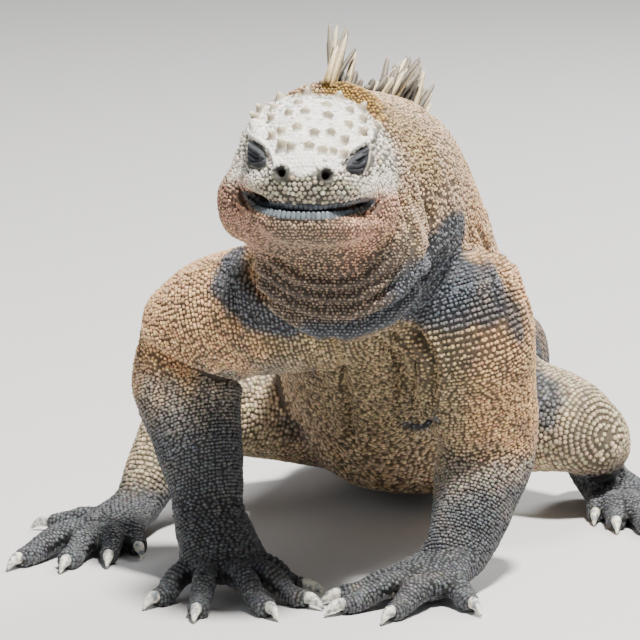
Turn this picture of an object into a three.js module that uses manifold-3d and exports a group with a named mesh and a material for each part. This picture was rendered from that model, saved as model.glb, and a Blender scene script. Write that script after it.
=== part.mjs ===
// A life-size adult male marine iguana, propped on its forelegs with its head raised.
// Millimetres, +Z up. The head looks towards -Y, the animal's left side is at +X, and the
// finished group is moved so that the origin is on the floor, under the pelvis.
import * as THREE from "three";
import { mergeVertices } from "three/addons/utils/BufferGeometryUtils.js";
import Module from "manifold-3d";

const wasm = await Module();
wasm.setup();

// Sizes shared by every part
const GAP = 0.3; // free space kept between two parts that meet
const BODY_SIDES = 20; // corners round the trunk
const TAIL_SIDES = 14;
const LIMB_SIDES = 10;
const DIGIT_SIDES = 6;
const PELVIS_FLAT = [-2, 54, 0]; // the point on the floor that becomes the origin
const UP = new THREE.Vector3(0, 0, 1);
const FORWARD = new THREE.Vector3(0, -1, 0);

// The trunk and tail as one row of sections from the nape to the tail tip.
// Each row: centre x, y, z, half width, height above the centre, depth below it, roll in degrees.
const TRUNK = [
  [-38, -226, 188, 31, 36, 34, -3],
  [-32, -207, 176, 35, 42, 41, 0],
  [-21, -183, 160, 38, 52, 46, 6],
  [-14, -151, 143, 39.5, 58, 48, 11],
  [-9, -115, 121, 45, 56, 50, 12],
  [-5, -77, 97, 51, 52, 51, 8],
  [0, -39, 73, 55, 46, 51, 6],
  [3, -4, 53, 58, 40, 49, 3],
  [1, 24, 43, 52, 34, 39, 0],
  [-2, 52, 35, 42, 29, 36.6, 0],
  [-3, 84, 29, 30, 26, 30.6, 0],
  [16, 138, 25, 19, 25, 26.4, 0],
  [50, 198, 22, 14.5, 23.5, 23.2, 0],
  [62, 262, 19, 11.5, 21, 20.2, 0],
  [20, 315, 16.5, 9.2, 18, 17.5, 0],
  [-40, 342, 13.5, 7.4, 15, 14.4, 0],
  [-68, 396, 10.5, 5.6, 11.5, 11.2, 0],
  [-36, 450, 7.5, 3.9, 8, 8, 0],
  [24, 474, 4.2, 2.2, 4, 4.6, 0],
];
// Where that row is parted, counted in rows, and the names of its lengths
const NAPE_END = 3.4;
const NECK_END = 1.6;
const TORSO_END = 9.4;
const TAIL_CUTS = [TORSO_END, 10.9, 12.3, 13.4, 14.4, 15.4, 16.5];

// The head, in its own frame: origin midway between the eyes, snout towards -Y.
const HEAD_PLACE = [-41.5, -252, 195];
const HEAD_PITCH = -3; // degrees, snout raised
const HEAD_ROLL = 4.5; // degrees, left side lower
const HEAD_YAW = -3; // degrees, snout towards the animal's right
// Each row: y, centre z, half width, height above the centre, depth below it
const SKULL = [
  [-25, -11, 10, 6, 6],
  [-22, -10.5, 14, 8.5, 8],
  [-15, -8, 17.5, 12, 11],
  [-6, -5, 20.5, 16, 14],
  [4, -3, 23.5, 20, 16],
  [14, -3, 26.5, 23.5, 18],
  [25, -5, 29.5, 26.5, 22],
  [36, -9, 31, 28.5, 28],
];
const MUZZLE = [
  [-24, -14.5, 13.5, 5, 4.5],
  [-20, -14, 19, 7, 5.5],
  [-11, -13.5, 24, 9, 6],
  [2, -12.5, 28.5, 10, 7],
  [16, -11.5, 31, 11, 8],
];
const JAW = [
  [-23.5, -25.5, 13.5, 4.5, 5],
  [-19, -26, 19, 5.5, 7.5],
  [-9, -27, 24.5, 6.5, 9.5],
  [5, -28, 29, 8, 12],
  [20, -29, 32, 12, 15],
  [35, -30, 33, 14, 19],
];
const JOWL = { at: [23.5, 18, -23], radii: [12.5, 20, 17] };
const CHEEK = { at: [19.5, 19, -8], radii: [12, 17, 15] };
const THROAT = { at: [-29, -221, 149], radii: [35, 27, 36] };
const BROW = [
  [12, -17.5, -1.5, 2.4, 2.2, 3],
  [16.5, -10.5, 2.5, 2.8, 2.4, 3],
  [21.5, -2.5, 6.5, 3.0, 2.6, 3],
  [25, 6, 10, 2.4, 2.2, 3],
];
const EYE = { at: [18.6, -3.6, -0.5], radius: 6.2, lid: 1.2, slit: 0.9, slitTilt: 28 };
const NOSTRIL = {
  at: [7.8, -24.6, -6.4],
  facing: [0.42, -0.82, 0.38],
  ring: 3.9,
  rise: 2.4,
  bore: 1.9,
  depth: 4,
};
const EAR = { at: [33, 22, -7], radii: [2.4, 4.2, 5.4] };
const MOUTH = { centreZ: -20.3, rise: 4.2, reach: 28, front: -25.2, back: 3, lip: 1.9, line: 0.75 };

// Crest spines: height along the trunk rows, as [row, height] pairs, and their form
const CREST_HEIGHTS = [
  [0.05, 24], [0.35, 29], [0.65, 23], [0.9, 6], [1.25, 5], [1.6, 16], [2.0, 22], [2.6, 20], [3.2, 14],
  [4, 10], [6, 8.5], [9, 7.5], [11, 8.5], [13, 7], [15, 4.5], [17, 2.6],
];
const CREST = {
  napeSpacing: 4.4,
  spacing: 6.3,
  tailSpacing: 9.5,
  length: 5.6,
  thick: 3.4,
  lean: 14,
  sway: 9,
  root: 4,
};
const TUBERCLES = {
  rows: 5,
  perRow: 6,
  frontReach: 0.66,
  backReach: 0.98,
  height: 2.4,
  edgeHeight: 4.4,
  radius: 2.4,
  root: 2.5,
};

// Seeded draws, so that every build is the same
let seed = 20241;
function draw() {
  seed = (seed * 1664525 + 1013904223) % 4294967296;
  return seed / 4294967296;
}
const spread = (amount) => (draw() * 2 - 1) * amount;

// Smooth curve through rows of numbers, read at u counted in rows
function sample(rows, u) {
  const last = rows.length - 1;
  const i = Math.max(0, Math.min(Math.floor(u), last - 1));
  const f = u - i;
  const row = (k, c) => {
    if (k < 0) return 2 * rows[0][c] - rows[1][c];
    if (k > last) return 2 * rows[last][c] - rows[last - 1][c];
    return rows[k][c];
  };
  return rows[0].map((_, c) => {
    const [p, q, r, s] = [row(i - 1, c), row(i, c), row(i + 1, c), row(i + 2, c)];
    const bend = (2 * p - 5 * q + 4 * r - s) * f ** 2 + (3 * q - p - 3 * r + s) * f ** 3;
    return 0.5 * (2 * q + (r - p) * f + bend);
  });
}

// The section at u: its centre, its sideways and upward directions, and its half sizes
function section(rows, u, up = UP) {
  const [x, y, z, wide, above, below, roll = 0] = sample(rows, u);
  const ahead = sample(rows, u + 0.02);
  const behind = sample(rows, u - 0.02);
  const along = new THREE.Vector3(...ahead).sub(new THREE.Vector3(...behind)).normalize();
  const side = new THREE.Vector3().crossVectors(along, up).normalize();
  side.applyAxisAngle(along, THREE.MathUtils.degToRad(roll));
  const rise = new THREE.Vector3().crossVectors(side, along);
  return { centre: new THREE.Vector3(x, y, z), along, side, rise, wide, above, below };
}

// Closed solid from triangles over a list of points
function solidOf(points, faces) {
  const geometry = new THREE.BufferGeometry();
  geometry.setAttribute("position", new THREE.Float32BufferAttribute(points.flat(), 3));
  geometry.setIndex(faces.flat());
  return manifoldOf(geometry);
}

function manifoldOf(geometry) {
  const plain = geometry.clone();
  plain.deleteAttribute("normal");
  plain.deleteAttribute("uv");
  const merged = mergeVertices(plain, 1e-4);
  return new wasm.Manifold(
    new wasm.Mesh({
      numProp: 3,
      vertProperties: new Float32Array(merged.attributes.position.array),
      triVerts: new Uint32Array(merged.index.array),
    }),
  );
}

// A tube of changing section along rows. Ends are flat, or domes of the given lengths.
function loft(rows, form) {
  const { from = 0, to = rows.length - 1, steps, sides, up = UP } = form;
  const { grow = 0, startDome = 0, endDome = 0, square = 2 } = form;
  const DOME_STEPS = 2;
  const rings = [];
  const dome = (s, sign, length, order) => {
    for (const k of order) {
      const turn = (k / DOME_STEPS) * (Math.PI / 2);
      const centre = s.centre.clone().addScaledVector(s.along, sign * (length + grow) * Math.sin(turn));
      rings.push({ ...s, centre, scale: Math.cos(turn) });
    }
  };
  const inner = [...Array(DOME_STEPS - 1).keys()].map((k) => k + 1);
  const first = section(rows, from, up);
  const lastSection = section(rows, to, up);
  if (startDome) dome(first, -1, startDome, [...inner].reverse());
  for (let j = 0; j <= steps; j++) {
    rings.push({ ...section(rows, from + ((to - from) * j) / steps, up), scale: 1 });
  }
  if (endDome) dome(lastSection, 1, endDome, inner);

  const points = [];
  for (const r of rings) {
    for (let k = 0; k < sides; k++) {
      const angle = (2 * Math.PI * k) / sides;
      const bend = (v) => Math.sign(v) * Math.abs(v) ** (2 / square);
      const high = Math.sin(angle) >= 0 ? r.above : r.below;
      const p = r.centre.clone();
      p.addScaledVector(r.side, (r.wide + grow) * r.scale * bend(Math.cos(angle)));
      p.addScaledVector(r.rise, (high + grow) * r.scale * bend(Math.sin(angle)));
      points.push(p.toArray());
    }
  }
  const start = points.length;
  const flatGrow = (length) => (length ? length + grow : grow);
  points.push(first.centre.clone().addScaledVector(first.along, -flatGrow(startDome)).toArray());
  points.push(lastSection.centre.clone().addScaledVector(lastSection.along, flatGrow(endDome)).toArray());
  const faces = [];
  for (let j = 0; j + 1 < rings.length; j++) {
    for (let k = 0; k < sides; k++) {
      const next = (k + 1) % sides;
      const [a, b, c, d] = [j * sides + k, j * sides + next, (j + 1) * sides + next, (j + 1) * sides + k];
      faces.push([a, d, b], [b, d, c]);
    }
  }
  const top = (rings.length - 1) * sides;
  for (let k = 0; k < sides; k++) {
    const next = (k + 1) % sides;
    faces.push([start, k, next], [start + 1, top + next, top + k]);
  }
  return solidOf(points, faces);
}

function ellipsoid(at, radii, { grow = 0, wide = 14, high = 8 } = {}) {
  const geometry = new THREE.SphereGeometry(1, wide, high);
  geometry.scale(radii[0] + grow, radii[1] + grow, radii[2] + grow);
  geometry.translate(...at);
  return manifoldOf(geometry);
}

function box(low, high) {
  const geometry = new THREE.BoxGeometry(high[0] - low[0], high[1] - low[1], high[2] - low[2]);
  geometry.translate((low[0] + high[0]) / 2, (low[1] + high[1]) / 2, (low[2] + high[2]) / 2);
  return manifoldOf(geometry);
}

const joined = (solids) => solids.reduce((a, b) => a.add(b));

// The largest closed body of a solid, which drops loose scraps left by a cut
function largest(solid) {
  return solid.decompose().sort((a, b) => b.volume() - a.volume())[0];
}

const ABOVE_FLOOR = box([-400, -500, 0], [400, 800, 500]);
const ground = (solid) => solid.intersect(ABOVE_FLOOR);

// A tapered spine: four-sided root and shoulder, then a point. thickSide is across the row.
function spine(root, direction, across, { height, length, thick, root: depth }) {
  const ahead = new THREE.Vector3().crossVectors(direction, across).normalize();
  const level = (h, scale) => {
    const centre = root.clone().addScaledVector(direction, h);
    return [
      [length / 2, 0], [0, thick / 2], [-length / 2, 0], [0, -thick / 2],
    ].map(([a, c]) => {
      const corner = centre.clone().addScaledVector(ahead, a * scale);
      return corner.addScaledVector(across, c * scale).toArray();
    });
  };
  const points = [...level(-depth, 1), ...level(height * 0.6, 0.72)];
  points.push(root.clone().addScaledVector(direction, height).toArray());
  const faces = [[0, 2, 1], [0, 3, 2]];
  for (let k = 0; k < 4; k++) {
    const next = (k + 1) % 4;
    faces.push([k, next, 4 + next], [k, 4 + next, 4 + k], [4 + k, 4 + next, 8]);
  }
  const made = solidOf(points, faces);
  return made.volume() > 0 ? made : solidOf(points, faces.map(([a, b, c]) => [a, c, b]));
}

// Crest

function crestHeight(u) {
  for (let k = 0; k + 1 < CREST_HEIGHTS.length; k++) {
    const [u0, h0] = CREST_HEIGHTS[k];
    const [u1, h1] = CREST_HEIGHTS[k + 1];
    if (u <= u1) return h0 + ((h1 - h0) * Math.max(0, u - u0)) / (u1 - u0);
  }
  return CREST_HEIGHTS.at(-1)[1];
}

// Every spine of the crest, each with the row where it stands
function crestSpines() {
  const spines = [];
  const end = TRUNK.length - 1.35;
  let u = CREST_HEIGHTS[0][0];
  while (u < end) {
    const s = section(TRUNK, u);
    const height = crestHeight(u) * (1 + spread(0.14));
    const size = Math.min(1, 0.4 + height / 16);
    const lean = THREE.MathUtils.degToRad(CREST.lean + spread(5));
    const sway = THREE.MathUtils.degToRad(spread(CREST.sway));
    const direction = s.rise.clone().multiplyScalar(Math.cos(lean));
    direction.addScaledVector(s.along, Math.sin(lean)).addScaledVector(s.side, Math.sin(sway)).normalize();
    const root = s.centre.clone().addScaledVector(s.rise, s.above - 0.4);
    spines.push({
      u,
      solid: spine(root, direction, s.side, {
        height,
        length: CREST.length * size,
        thick: CREST.thick * size,
        root: Math.min(CREST.root, s.above * 0.5),
      }),
    });
    const pace = u > TORSO_END ? CREST.tailSpacing : u < NAPE_END ? CREST.napeSpacing : CREST.spacing;
    const step = 0.1;
    const stride = section(TRUNK, u + step).centre.distanceTo(s.centre) / step;
    u += pace / stride;
  }
  return spines;
}

// Head

function headFrame() {
  const rad = THREE.MathUtils.degToRad;
  return new THREE.Matrix4()
    .makeTranslation(...HEAD_PLACE)
    .multiply(new THREE.Matrix4().makeRotationZ(rad(HEAD_YAW)))
    .multiply(new THREE.Matrix4().makeRotationY(rad(HEAD_ROLL)))
    .multiply(new THREE.Matrix4().makeRotationX(rad(HEAD_PITCH)));
}
const HEAD = headFrame();
const placed = (solid) => solid.transform(HEAD.elements);
const mirrored = (at, side) => [at[0] * side, at[1], at[2]];
const withX = (rows) => rows.map(([y, ...rest]) => [0, y, ...rest]);

// The bulk of the head, grown by a gap where a neighbour is cut by it
function headBulk(grow = 0) {
  return joined([
    loft(withX(SKULL), { steps: 8, sides: 18, grow, startDome: 2.5, square: 2.35 }),
    loft(withX(MUZZLE), { steps: 5, sides: 12, grow, startDome: 2, endDome: 4, square: 2.2 }),
    loft(withX(JAW), { steps: 5, sides: 14, grow, startDome: 2.5, square: 2.2 }),
    ...[-1, 1].map((side) => ellipsoid(mirrored(JOWL.at, side), JOWL.radii, { grow })),
    ...[-1, 1].map((side) => ellipsoid(mirrored(CHEEK.at, side), CHEEK.radii, { grow })),
  ]);
}

// The mouth runs round the snout at a constant place under the nostrils and rises to its corners
function mouthRows(radius, drop) {
  const rows = [];
  const count = 10;
  for (let k = 0; k <= count; k++) {
    const t = (2 * k) / count - 1;
    const x = MOUTH.reach * Math.sin((t * Math.PI) / 2);
    const y = MOUTH.back + (MOUTH.front - MOUTH.back) * Math.sqrt(Math.max(0, 1 - t * t)) ** 1.1;
    rows.push([x, y, MOUTH.centreZ + MOUTH.rise * t * t + drop, radius, radius, radius]);
  }
  return rows;
}

function lip(drop) {
  return loft(mouthRows(MOUTH.lip, drop), { steps: 8, sides: 5 });
}

function lidBall(side, grow) {
  const r = EYE.radius + grow;
  return ellipsoid(mirrored(EYE.at, side), [r, r, r], { wide: 10, high: 7 });
}

// A thin tilted slab through the eye's outer half, which leaves the slit between the lids
function lidSlit(side) {
  const [x, y, z] = mirrored(EYE.at, side);
  const geometry = new THREE.BoxGeometry(15, 9, EYE.slit);
  geometry.translate(0, -EYE.radius, 0);
  geometry.rotateY(THREE.MathUtils.degToRad(-EYE.slitTilt * side));
  geometry.rotateZ(THREE.MathUtils.degToRad(42 * side));
  geometry.translate(x, y, z);
  return manifoldOf(geometry);
}

// A tapered plug along the way the nostril faces, from inside the snout to outside it
function nostrilForm(side, radius, inward, outward) {
  const geometry = new THREE.CylinderGeometry(radius * 0.78, radius, inward + outward, 7);
  geometry.translate(0, (outward - inward) / 2, 0);
  const facing = new THREE.Vector3(...mirrored(NOSTRIL.facing, side)).normalize();
  geometry.applyQuaternion(new THREE.Quaternion().setFromUnitVectors(new THREE.Vector3(0, 1, 0), facing));
  geometry.translate(...mirrored(NOSTRIL.at, side));
  return manifoldOf(geometry);
}

// Conical scales on the crown, in rows that widen backwards, tallest along the edges
function crownTubercles(bulk) {
  const cones = [];
  for (let j = 0; j < TUBERCLES.rows; j++) {
    const u = 2.1 + (j * 3.3) / (TUBERCLES.rows - 1);
    const reach = THREE.MathUtils.lerp(TUBERCLES.frontReach, TUBERCLES.backReach, j / (TUBERCLES.rows - 1));
    for (let k = 0; k < TUBERCLES.perRow; k++) {
      const across = (k / (TUBERCLES.perRow - 1)) * 2 - 1;
      const turn = Math.PI / 2 - across * reach + spread(0.05) + (j % 2 ? 0.08 : -0.08);
      const s = section(withX(SKULL), u + spread(0.12));
      const direction = s.side.clone().multiplyScalar(Math.cos(turn) * 0.8);
      direction.addScaledVector(s.rise, Math.sin(turn));
      direction.addScaledVector(s.along, -0.25).normalize();
      const bend = (v) => Math.sign(v) * Math.abs(v) ** (2 / 2.35);
      const root = s.centre.clone().addScaledVector(s.side, s.wide * bend(Math.cos(turn)));
      root.addScaledVector(s.rise, s.above * bend(Math.sin(turn)));
      const edge = Math.max(Math.abs(across) ** 3, j === TUBERCLES.rows - 1 ? 0.8 : 0);
      const height = THREE.MathUtils.lerp(TUBERCLES.height, TUBERCLES.edgeHeight, edge) * (1 + spread(0.2));
      const wide = TUBERCLES.radius * 2 * (1 + spread(0.12));
      cones.push(spine(root, direction, s.side, { height, length: wide, thick: wide, root: TUBERCLES.root }));
    }
  }
  return joined([bulk, ...cones]);
}

function makeHead() {
  let head = headBulk();
  head = head.add(lip(2)).add(lip(-2.2));
  for (const side of [-1, 1]) {
    const rows = BROW.map((row) => [row[0] * side, ...row.slice(1)]);
    head = head.add(loft(rows, { steps: 4, sides: 6, startDome: 2.5, endDome: 2.5 }));
    head = head.add(lidBall(side, EYE.lid));
    head = head.add(nostrilForm(side, NOSTRIL.ring, NOSTRIL.depth, NOSTRIL.rise));
  }
  head = crownTubercles(head);
  head = head.subtract(loft(mouthRows(MOUTH.line, -0.1), { steps: 8, sides: 4 }));
  for (const side of [-1, 1]) {
    head = head.subtract(lidBall(side, GAP));
    head = head.subtract(lidSlit(side));
    head = head.subtract(nostrilForm(side, NOSTRIL.bore, NOSTRIL.depth, 2 * NOSTRIL.rise));
    head = head.subtract(ellipsoid(mirrored(EAR.at, side), EAR.radii, { wide: 8, high: 5 }));
  }
  return largest(placed(head));
}

// Limbs. Each row: centre x, y, z, half width, front half, back half.
// towards is the direction that the front half faces.
const LIMBS = {
  left: {
    upper_arm: {
      rows: [
        [18, -166, 127, 27, 26, 26],
        [23, -168, 108, 27.5, 26, 26],
        [28, -159, 82, 24.5, 23, 23],
        [34, -150, 60, 20.5, 19, 20],
      ],
      startDome: 12,
      endDome: 13,
      towards: FORWARD,
    },
    forearm: {
      rows: [
        [35, -146, 62, 19, 18.5, 19],
        [31, -155, 48, 20, 18.5, 18],
        [25, -170, 30, 16, 14, 14],
        [19, -183, 16, 13.5, 9.5, 10],
      ],
      startDome: 9,
      endDome: 6,
      towards: FORWARD,
    },
    thigh: {
      rows: [
        [16, 14, 43, 27, 26, 30],
        [38, -4, 45, 26, 24, 28],
        [60, -24, 45, 23, 21.5, 26],
        [76, -38, 42, 19.5, 19, 21],
      ],
      startDome: 10,
      endDome: 14,
      towards: UP,
    },
    shank: {
      rows: [
        [80, -38, 39, 17, 17, 17],
        [83, -24, 32, 17.5, 16.5, 16.5],
        [84, -6, 23, 13.5, 13, 13],
        [85, 8, 15, 11, 10, 10.5],
      ],
      startDome: 8,
      endDome: 7,
      towards: UP,
    },
  },
  right: {
    upper_arm: {
      rows: [
        [-30, -166, 121, 28, 28, 28],
        [-54, -163, 117, 27.5, 27.5, 27.5],
        [-80, -155, 112, 25.5, 25.5, 25.5],
        [-98, -147, 105, 19, 20.5, 19],
      ],
      startDome: 12,
      endDome: 13,
      towards: FORWARD,
    },
    forearm: {
      rows: [
        [-97, -143, 97, 18.5, 19, 18.5],
        [-95, -146, 82, 22, 21, 21],
        [-89, -156, 58, 18.5, 17, 17],
        [-84, -166, 37, 14.5, 10.5, 11],
      ],
      startDome: 9,
      endDome: 6,
      towards: FORWARD,
    },
    thigh: {
      rows: [
        [-20, 14, 43, 27, 26, 30],
        [-44, 0, 45, 26, 24, 28],
        [-70, -16, 47, 22.5, 20.5, 23],
        [-88, -29, 47, 19, 18.5, 20],
      ],
      startDome: 10,
      endDome: 13,
      towards: UP,
    },
    shank: {
      rows: [
        [-93, -31, 45, 17, 17, 17],
        [-101, -41, 38, 17.5, 16.5, 16.5],
        [-110, -54, 26, 13.5, 13, 13],
        [-116, -64, 15, 11, 10, 10.5],
      ],
      startDome: 8,
      endDome: 7,
      towards: UP,
    },
  },
};

// Hands and feet: the palm's rows, then each digit by its place across the palm's far end,
// heading in degrees from +X, length and how high it arches.
const PAWS = {
  hand_left: {
    palm: [
      [20, -181, 15, 13.5, 8.5, 9],
      [13, -189, 12, 15.5, 7.5, 9],
      [4, -198, 10, 17.5, 6.5, 10.1],
      [-1, -203, 8.5, 15.5, 6, 8.7],
    ],
    digits: [
      [8, -189, 176, 20, 5],
      [0, -197, 198, 29, 6],
      [-2, -204, 219, 33, 6],
      [6, -209, 243, 31, 5],
      [16, -202, 292, 21, 4],
    ],
    arm: "forearm",
  },
  hand_right: {
    palm: [
      [-86, -164, 35, 14.5, 10, 10],
      [-83, -174, 27, 16.5, 8.5, 9],
      [-79, -186, 18, 18.5, 7.5, 9],
      [-76, -193, 12.5, 17, 7, 9],
    ],
    digits: [
      [-66, -184, -14, 20, 5],
      [-67, -194, -40, 29, 5],
      [-74, -200, -64, 33, 5],
      [-84, -200, -97, 32, 5],
      [-92, -192, -124, 22, 4],
    ],
    arm: "forearm",
  },
  foot_left: {
    palm: [
      [86, 8, 13, 11.5, 8, 10],
      [90, -6, 11, 13, 7.5, 9.5],
      [94, -22, 9, 15, 6.5, 9.2],
      [96, -30, 8, 14, 6, 8.3],
    ],
    digits: [
      [86, -29, 263, 16, 3],
      [92, -35, 270, 27, 4],
      [99, -36, 280, 38, 5],
      [106, -30, 294, 46, 5],
      [103, -10, 335, 25, 3],
    ],
    arm: "shank",
  },
  foot_right: {
    palm: [
      [-117, -65, 13, 11.5, 8, 10],
      [-122, -77, 11, 13, 7.5, 9.5],
      [-129, -91, 9, 15, 6.5, 9.2],
      [-132, -98, 8, 14, 6, 8.3],
    ],
    digits: [
      [-120, -98, 283, 16, 3],
      [-127, -104, 268, 27, 4],
      [-135, -104, 255, 38, 5],
      [-142, -97, 240, 46, 5],
      [-131, -74, 160, 25, 3],
    ],
    arm: "shank",
  },
};
const DIGIT = { radius: 5.1, tipRadius: 4.2, rootInset: 7, knuckle: 0.36, claw: 9.5, clawRadius: 2.2 };

function limbPart({ rows, startDome, endDome, towards }, grow = 0) {
  return loft(rows, { steps: 5, sides: LIMB_SIDES, up: towards, grow, startDome, endDome });
}

// A digit leaves the palm at its own height, arches, and comes down to lie along the floor
function digitRows([x, y, heading, length, arch], rootHeight) {
  const angle = THREE.MathUtils.degToRad(heading);
  const [dx, dy] = [Math.cos(angle), Math.sin(angle)];
  const at = (s, z, r) => [x + dx * s, y + dy * s, z, r, r, r];
  return [
    at(-DIGIT.rootInset, rootHeight, DIGIT.radius * 0.95),
    at(length * DIGIT.knuckle, Math.max(rootHeight * 0.7, DIGIT.radius) + arch * 0.5, DIGIT.radius),
    at(length * 0.75, DIGIT.tipRadius + 0.4, DIGIT.tipRadius + 0.2),
    at(length, DIGIT.tipRadius - 0.5, DIGIT.tipRadius),
  ];
}

function clawRows([x, y, heading, length]) {
  const angle = THREE.MathUtils.degToRad(heading);
  const [dx, dy] = [Math.cos(angle), Math.sin(angle)];
  const at = (s, z, r) => [x + dx * (length + s), y + dy * (length + s), z, r, r * 1.15, r * 1.15];
  return [
    at(0, 4.2, DIGIT.clawRadius),
    at(DIGIT.claw * 0.45, 4.6, DIGIT.clawRadius),
    at(DIGIT.claw * 0.85, 3.2, DIGIT.clawRadius * 0.66),
    at(DIGIT.claw * 1.15, 0.9, 0.4),
  ];
}

function pawSolid({ palm, digits }, grow = 0) {
  const palmSolid = loft(palm, { steps: 3, sides: 10, grow, startDome: 4, endDome: 5 });
  const rootHeight = palm.at(-1)[2] - 0.5;
  const fingers = digits.map((d) =>
    loft(digitRows(d, rootHeight), { steps: 3, sides: DIGIT_SIDES, grow, endDome: 3 }),
  );
  return joined([palmSolid, ...fingers]);
}

// Materials, from the photograph's colours
const material = (name, color, roughness) => new THREE.MeshStandardMaterial({ name, color, roughness });
const FINISH = {
  flank: material("flank", 0x957b60, 0.75),
  face: material("face", 0xcfc8b4, 0.75),
  dark: material("dark", 0x484a4e, 0.75),
  claw: material("claw", 0xcfd2cc, 0.4),
  eye: material("eye", 0x14100d, 0.1),
};

const iguana = new THREE.Group();
iguana.position.set(...PELVIS_FLAT).negate();

function add(name, solid, finish) {
  const mesh = solid.getMesh();
  const geometry = new THREE.BufferGeometry();
  const points = new Float32Array(mesh.numVert * 3);
  for (let i = 0; i < mesh.numVert; i++) {
    points.set(mesh.vertProperties.subarray(i * mesh.numProp, i * mesh.numProp + 3), i * 3);
  }
  geometry.setAttribute("position", new THREE.BufferAttribute(points, 3));
  geometry.setIndex(new THREE.BufferAttribute(new Uint32Array(mesh.triVerts), 1));
  geometry.computeVertexNormals();
  const made = new THREE.Mesh(geometry, finish);
  made.name = name;
  iguana.add(made);
}

// Trunk, neck and tail, parted by thin cuts square to the body

const spines = crestSpines();

function trunkLength(from, to, steps, sides, endDome = 0) {
  const stride = (u) => section(TRUNK, u + 0.05).centre.distanceTo(section(TRUNK, u).centre) / 0.05;
  const half = (u) => GAP / 2 / stride(u);
  const start = from === 0 ? from : from + half(from);
  const end = endDome ? to : to - half(to);
  return loft(TRUNK, { from: start, to: end, steps, sides, endDome });
}

// Adds the spines that stand between two cuts, with room for the root of each
function withCrest(solid, from, to) {
  const inside = spines.filter((s) => s.u > from && s.u < to);
  return joined([solid, ...inside.map((s) => s.solid)]);
}

const CREST_MARGIN = 0.13;
const headCut = placed(headBulk(GAP));
let neck = trunkLength(0, NECK_END, 4, BODY_SIDES);
neck = neck.add(ellipsoid(THROAT.at, THROAT.radii));
let torso = trunkLength(NECK_END, TORSO_END, 14, BODY_SIDES);
neck = withCrest(neck, 0, NECK_END - CREST_MARGIN);
neck = neck.subtract(headCut);
const grownTorso = loft(TRUNK, { from: NECK_END, to: TORSO_END, steps: 14, sides: BODY_SIDES, grow: GAP });
neck = largest(neck.subtract(grownTorso));
torso = withCrest(torso, NECK_END + CREST_MARGIN, TORSO_END - CREST_MARGIN);
torso = largest(ground(torso));

add("head", makeHead(), FINISH.face);
for (const [name, side] of [["eye_right", -1], ["eye_left", 1]]) {
  add(name, placed(lidBall(side, 0)), FINISH.eye);
}
add("neck", neck, FINISH.flank);
add("torso", torso, FINISH.flank);
TAIL_CUTS.forEach((from, k) => {
  const tip = k === TAIL_CUTS.length - 1;
  const to = tip ? TRUNK.length - 1 : TAIL_CUTS[k + 1];
  const tail = trunkLength(from, to, 4, TAIL_SIDES, tip ? 3 : 0);
  const crested = withCrest(tail, from + CREST_MARGIN, to - CREST_MARGIN);
  add("tail_" + (k + 1), largest(ground(crested)), FINISH.flank);
});

// Legs, each cut by what it grows from

const grownTrunk = (from, to) => loft(TRUNK, { from, to, steps: 4, sides: BODY_SIDES, grow: GAP });
const bodyCut = [
  grownTorso,
  ellipsoid(THROAT.at, THROAT.radii, { grow: GAP }),
  grownTrunk(0, NECK_END),
  grownTrunk(TORSO_END, TAIL_CUTS[1]),
];
const cutBy = (solid, list) => list.reduce((a, b) => a.subtract(b), solid);

for (const [side, limb] of Object.entries(LIMBS)) {
  for (const [root, next] of [["upper_arm", "forearm"], ["thigh", "shank"]]) {
    const first = largest(ground(cutBy(limbPart(limb[root]), bodyCut)));
    const second = largest(ground(cutBy(limbPart(limb[next]), [...bodyCut, limbPart(limb[root], GAP)])));
    add(root + "_" + side, first, FINISH.flank);
    add(next + "_" + side, second, FINISH.dark);
  }
}

for (const [name, paw] of Object.entries(PAWS)) {
  const side = name.split("_")[1];
  const above = limbPart(LIMBS[side][paw.arm], GAP);
  const root = limbPart(LIMBS[side][paw.arm === "shank" ? "thigh" : "upper_arm"], GAP);
  add(name, largest(ground(cutBy(pawSolid(paw), [above, root]))), FINISH.dark);
  const pawCut = pawSolid(paw, GAP);
  paw.digits.forEach((digit, k) => {
    const claw = loft(clawRows(digit), { steps: 3, sides: 4 });
    add("claw_" + name + "_" + (k + 1), largest(ground(claw.subtract(pawCut))), FINISH.claw);
  });
}

export default iguana;
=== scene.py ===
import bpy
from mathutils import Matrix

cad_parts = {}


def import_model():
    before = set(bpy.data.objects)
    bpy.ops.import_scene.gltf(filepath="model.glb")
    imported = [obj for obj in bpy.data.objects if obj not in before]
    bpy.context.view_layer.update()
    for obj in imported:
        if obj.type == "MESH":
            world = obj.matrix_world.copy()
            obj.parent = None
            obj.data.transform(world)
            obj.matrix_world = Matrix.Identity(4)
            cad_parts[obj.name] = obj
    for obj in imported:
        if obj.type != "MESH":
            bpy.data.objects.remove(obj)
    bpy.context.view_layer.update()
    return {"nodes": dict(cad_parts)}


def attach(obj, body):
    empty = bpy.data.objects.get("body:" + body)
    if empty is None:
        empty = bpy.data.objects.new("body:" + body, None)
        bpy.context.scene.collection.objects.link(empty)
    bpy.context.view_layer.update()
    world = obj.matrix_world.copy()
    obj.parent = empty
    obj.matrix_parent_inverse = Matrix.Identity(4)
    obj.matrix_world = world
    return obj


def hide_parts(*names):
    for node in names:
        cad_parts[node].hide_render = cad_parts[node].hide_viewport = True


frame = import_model()

import math

import bmesh
import bpy
import numpy as np
from mathutils import Matrix, Vector, noise
from mathutils.bvhtree import BVHTree
from mathutils.kdtree import KDTree

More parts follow.
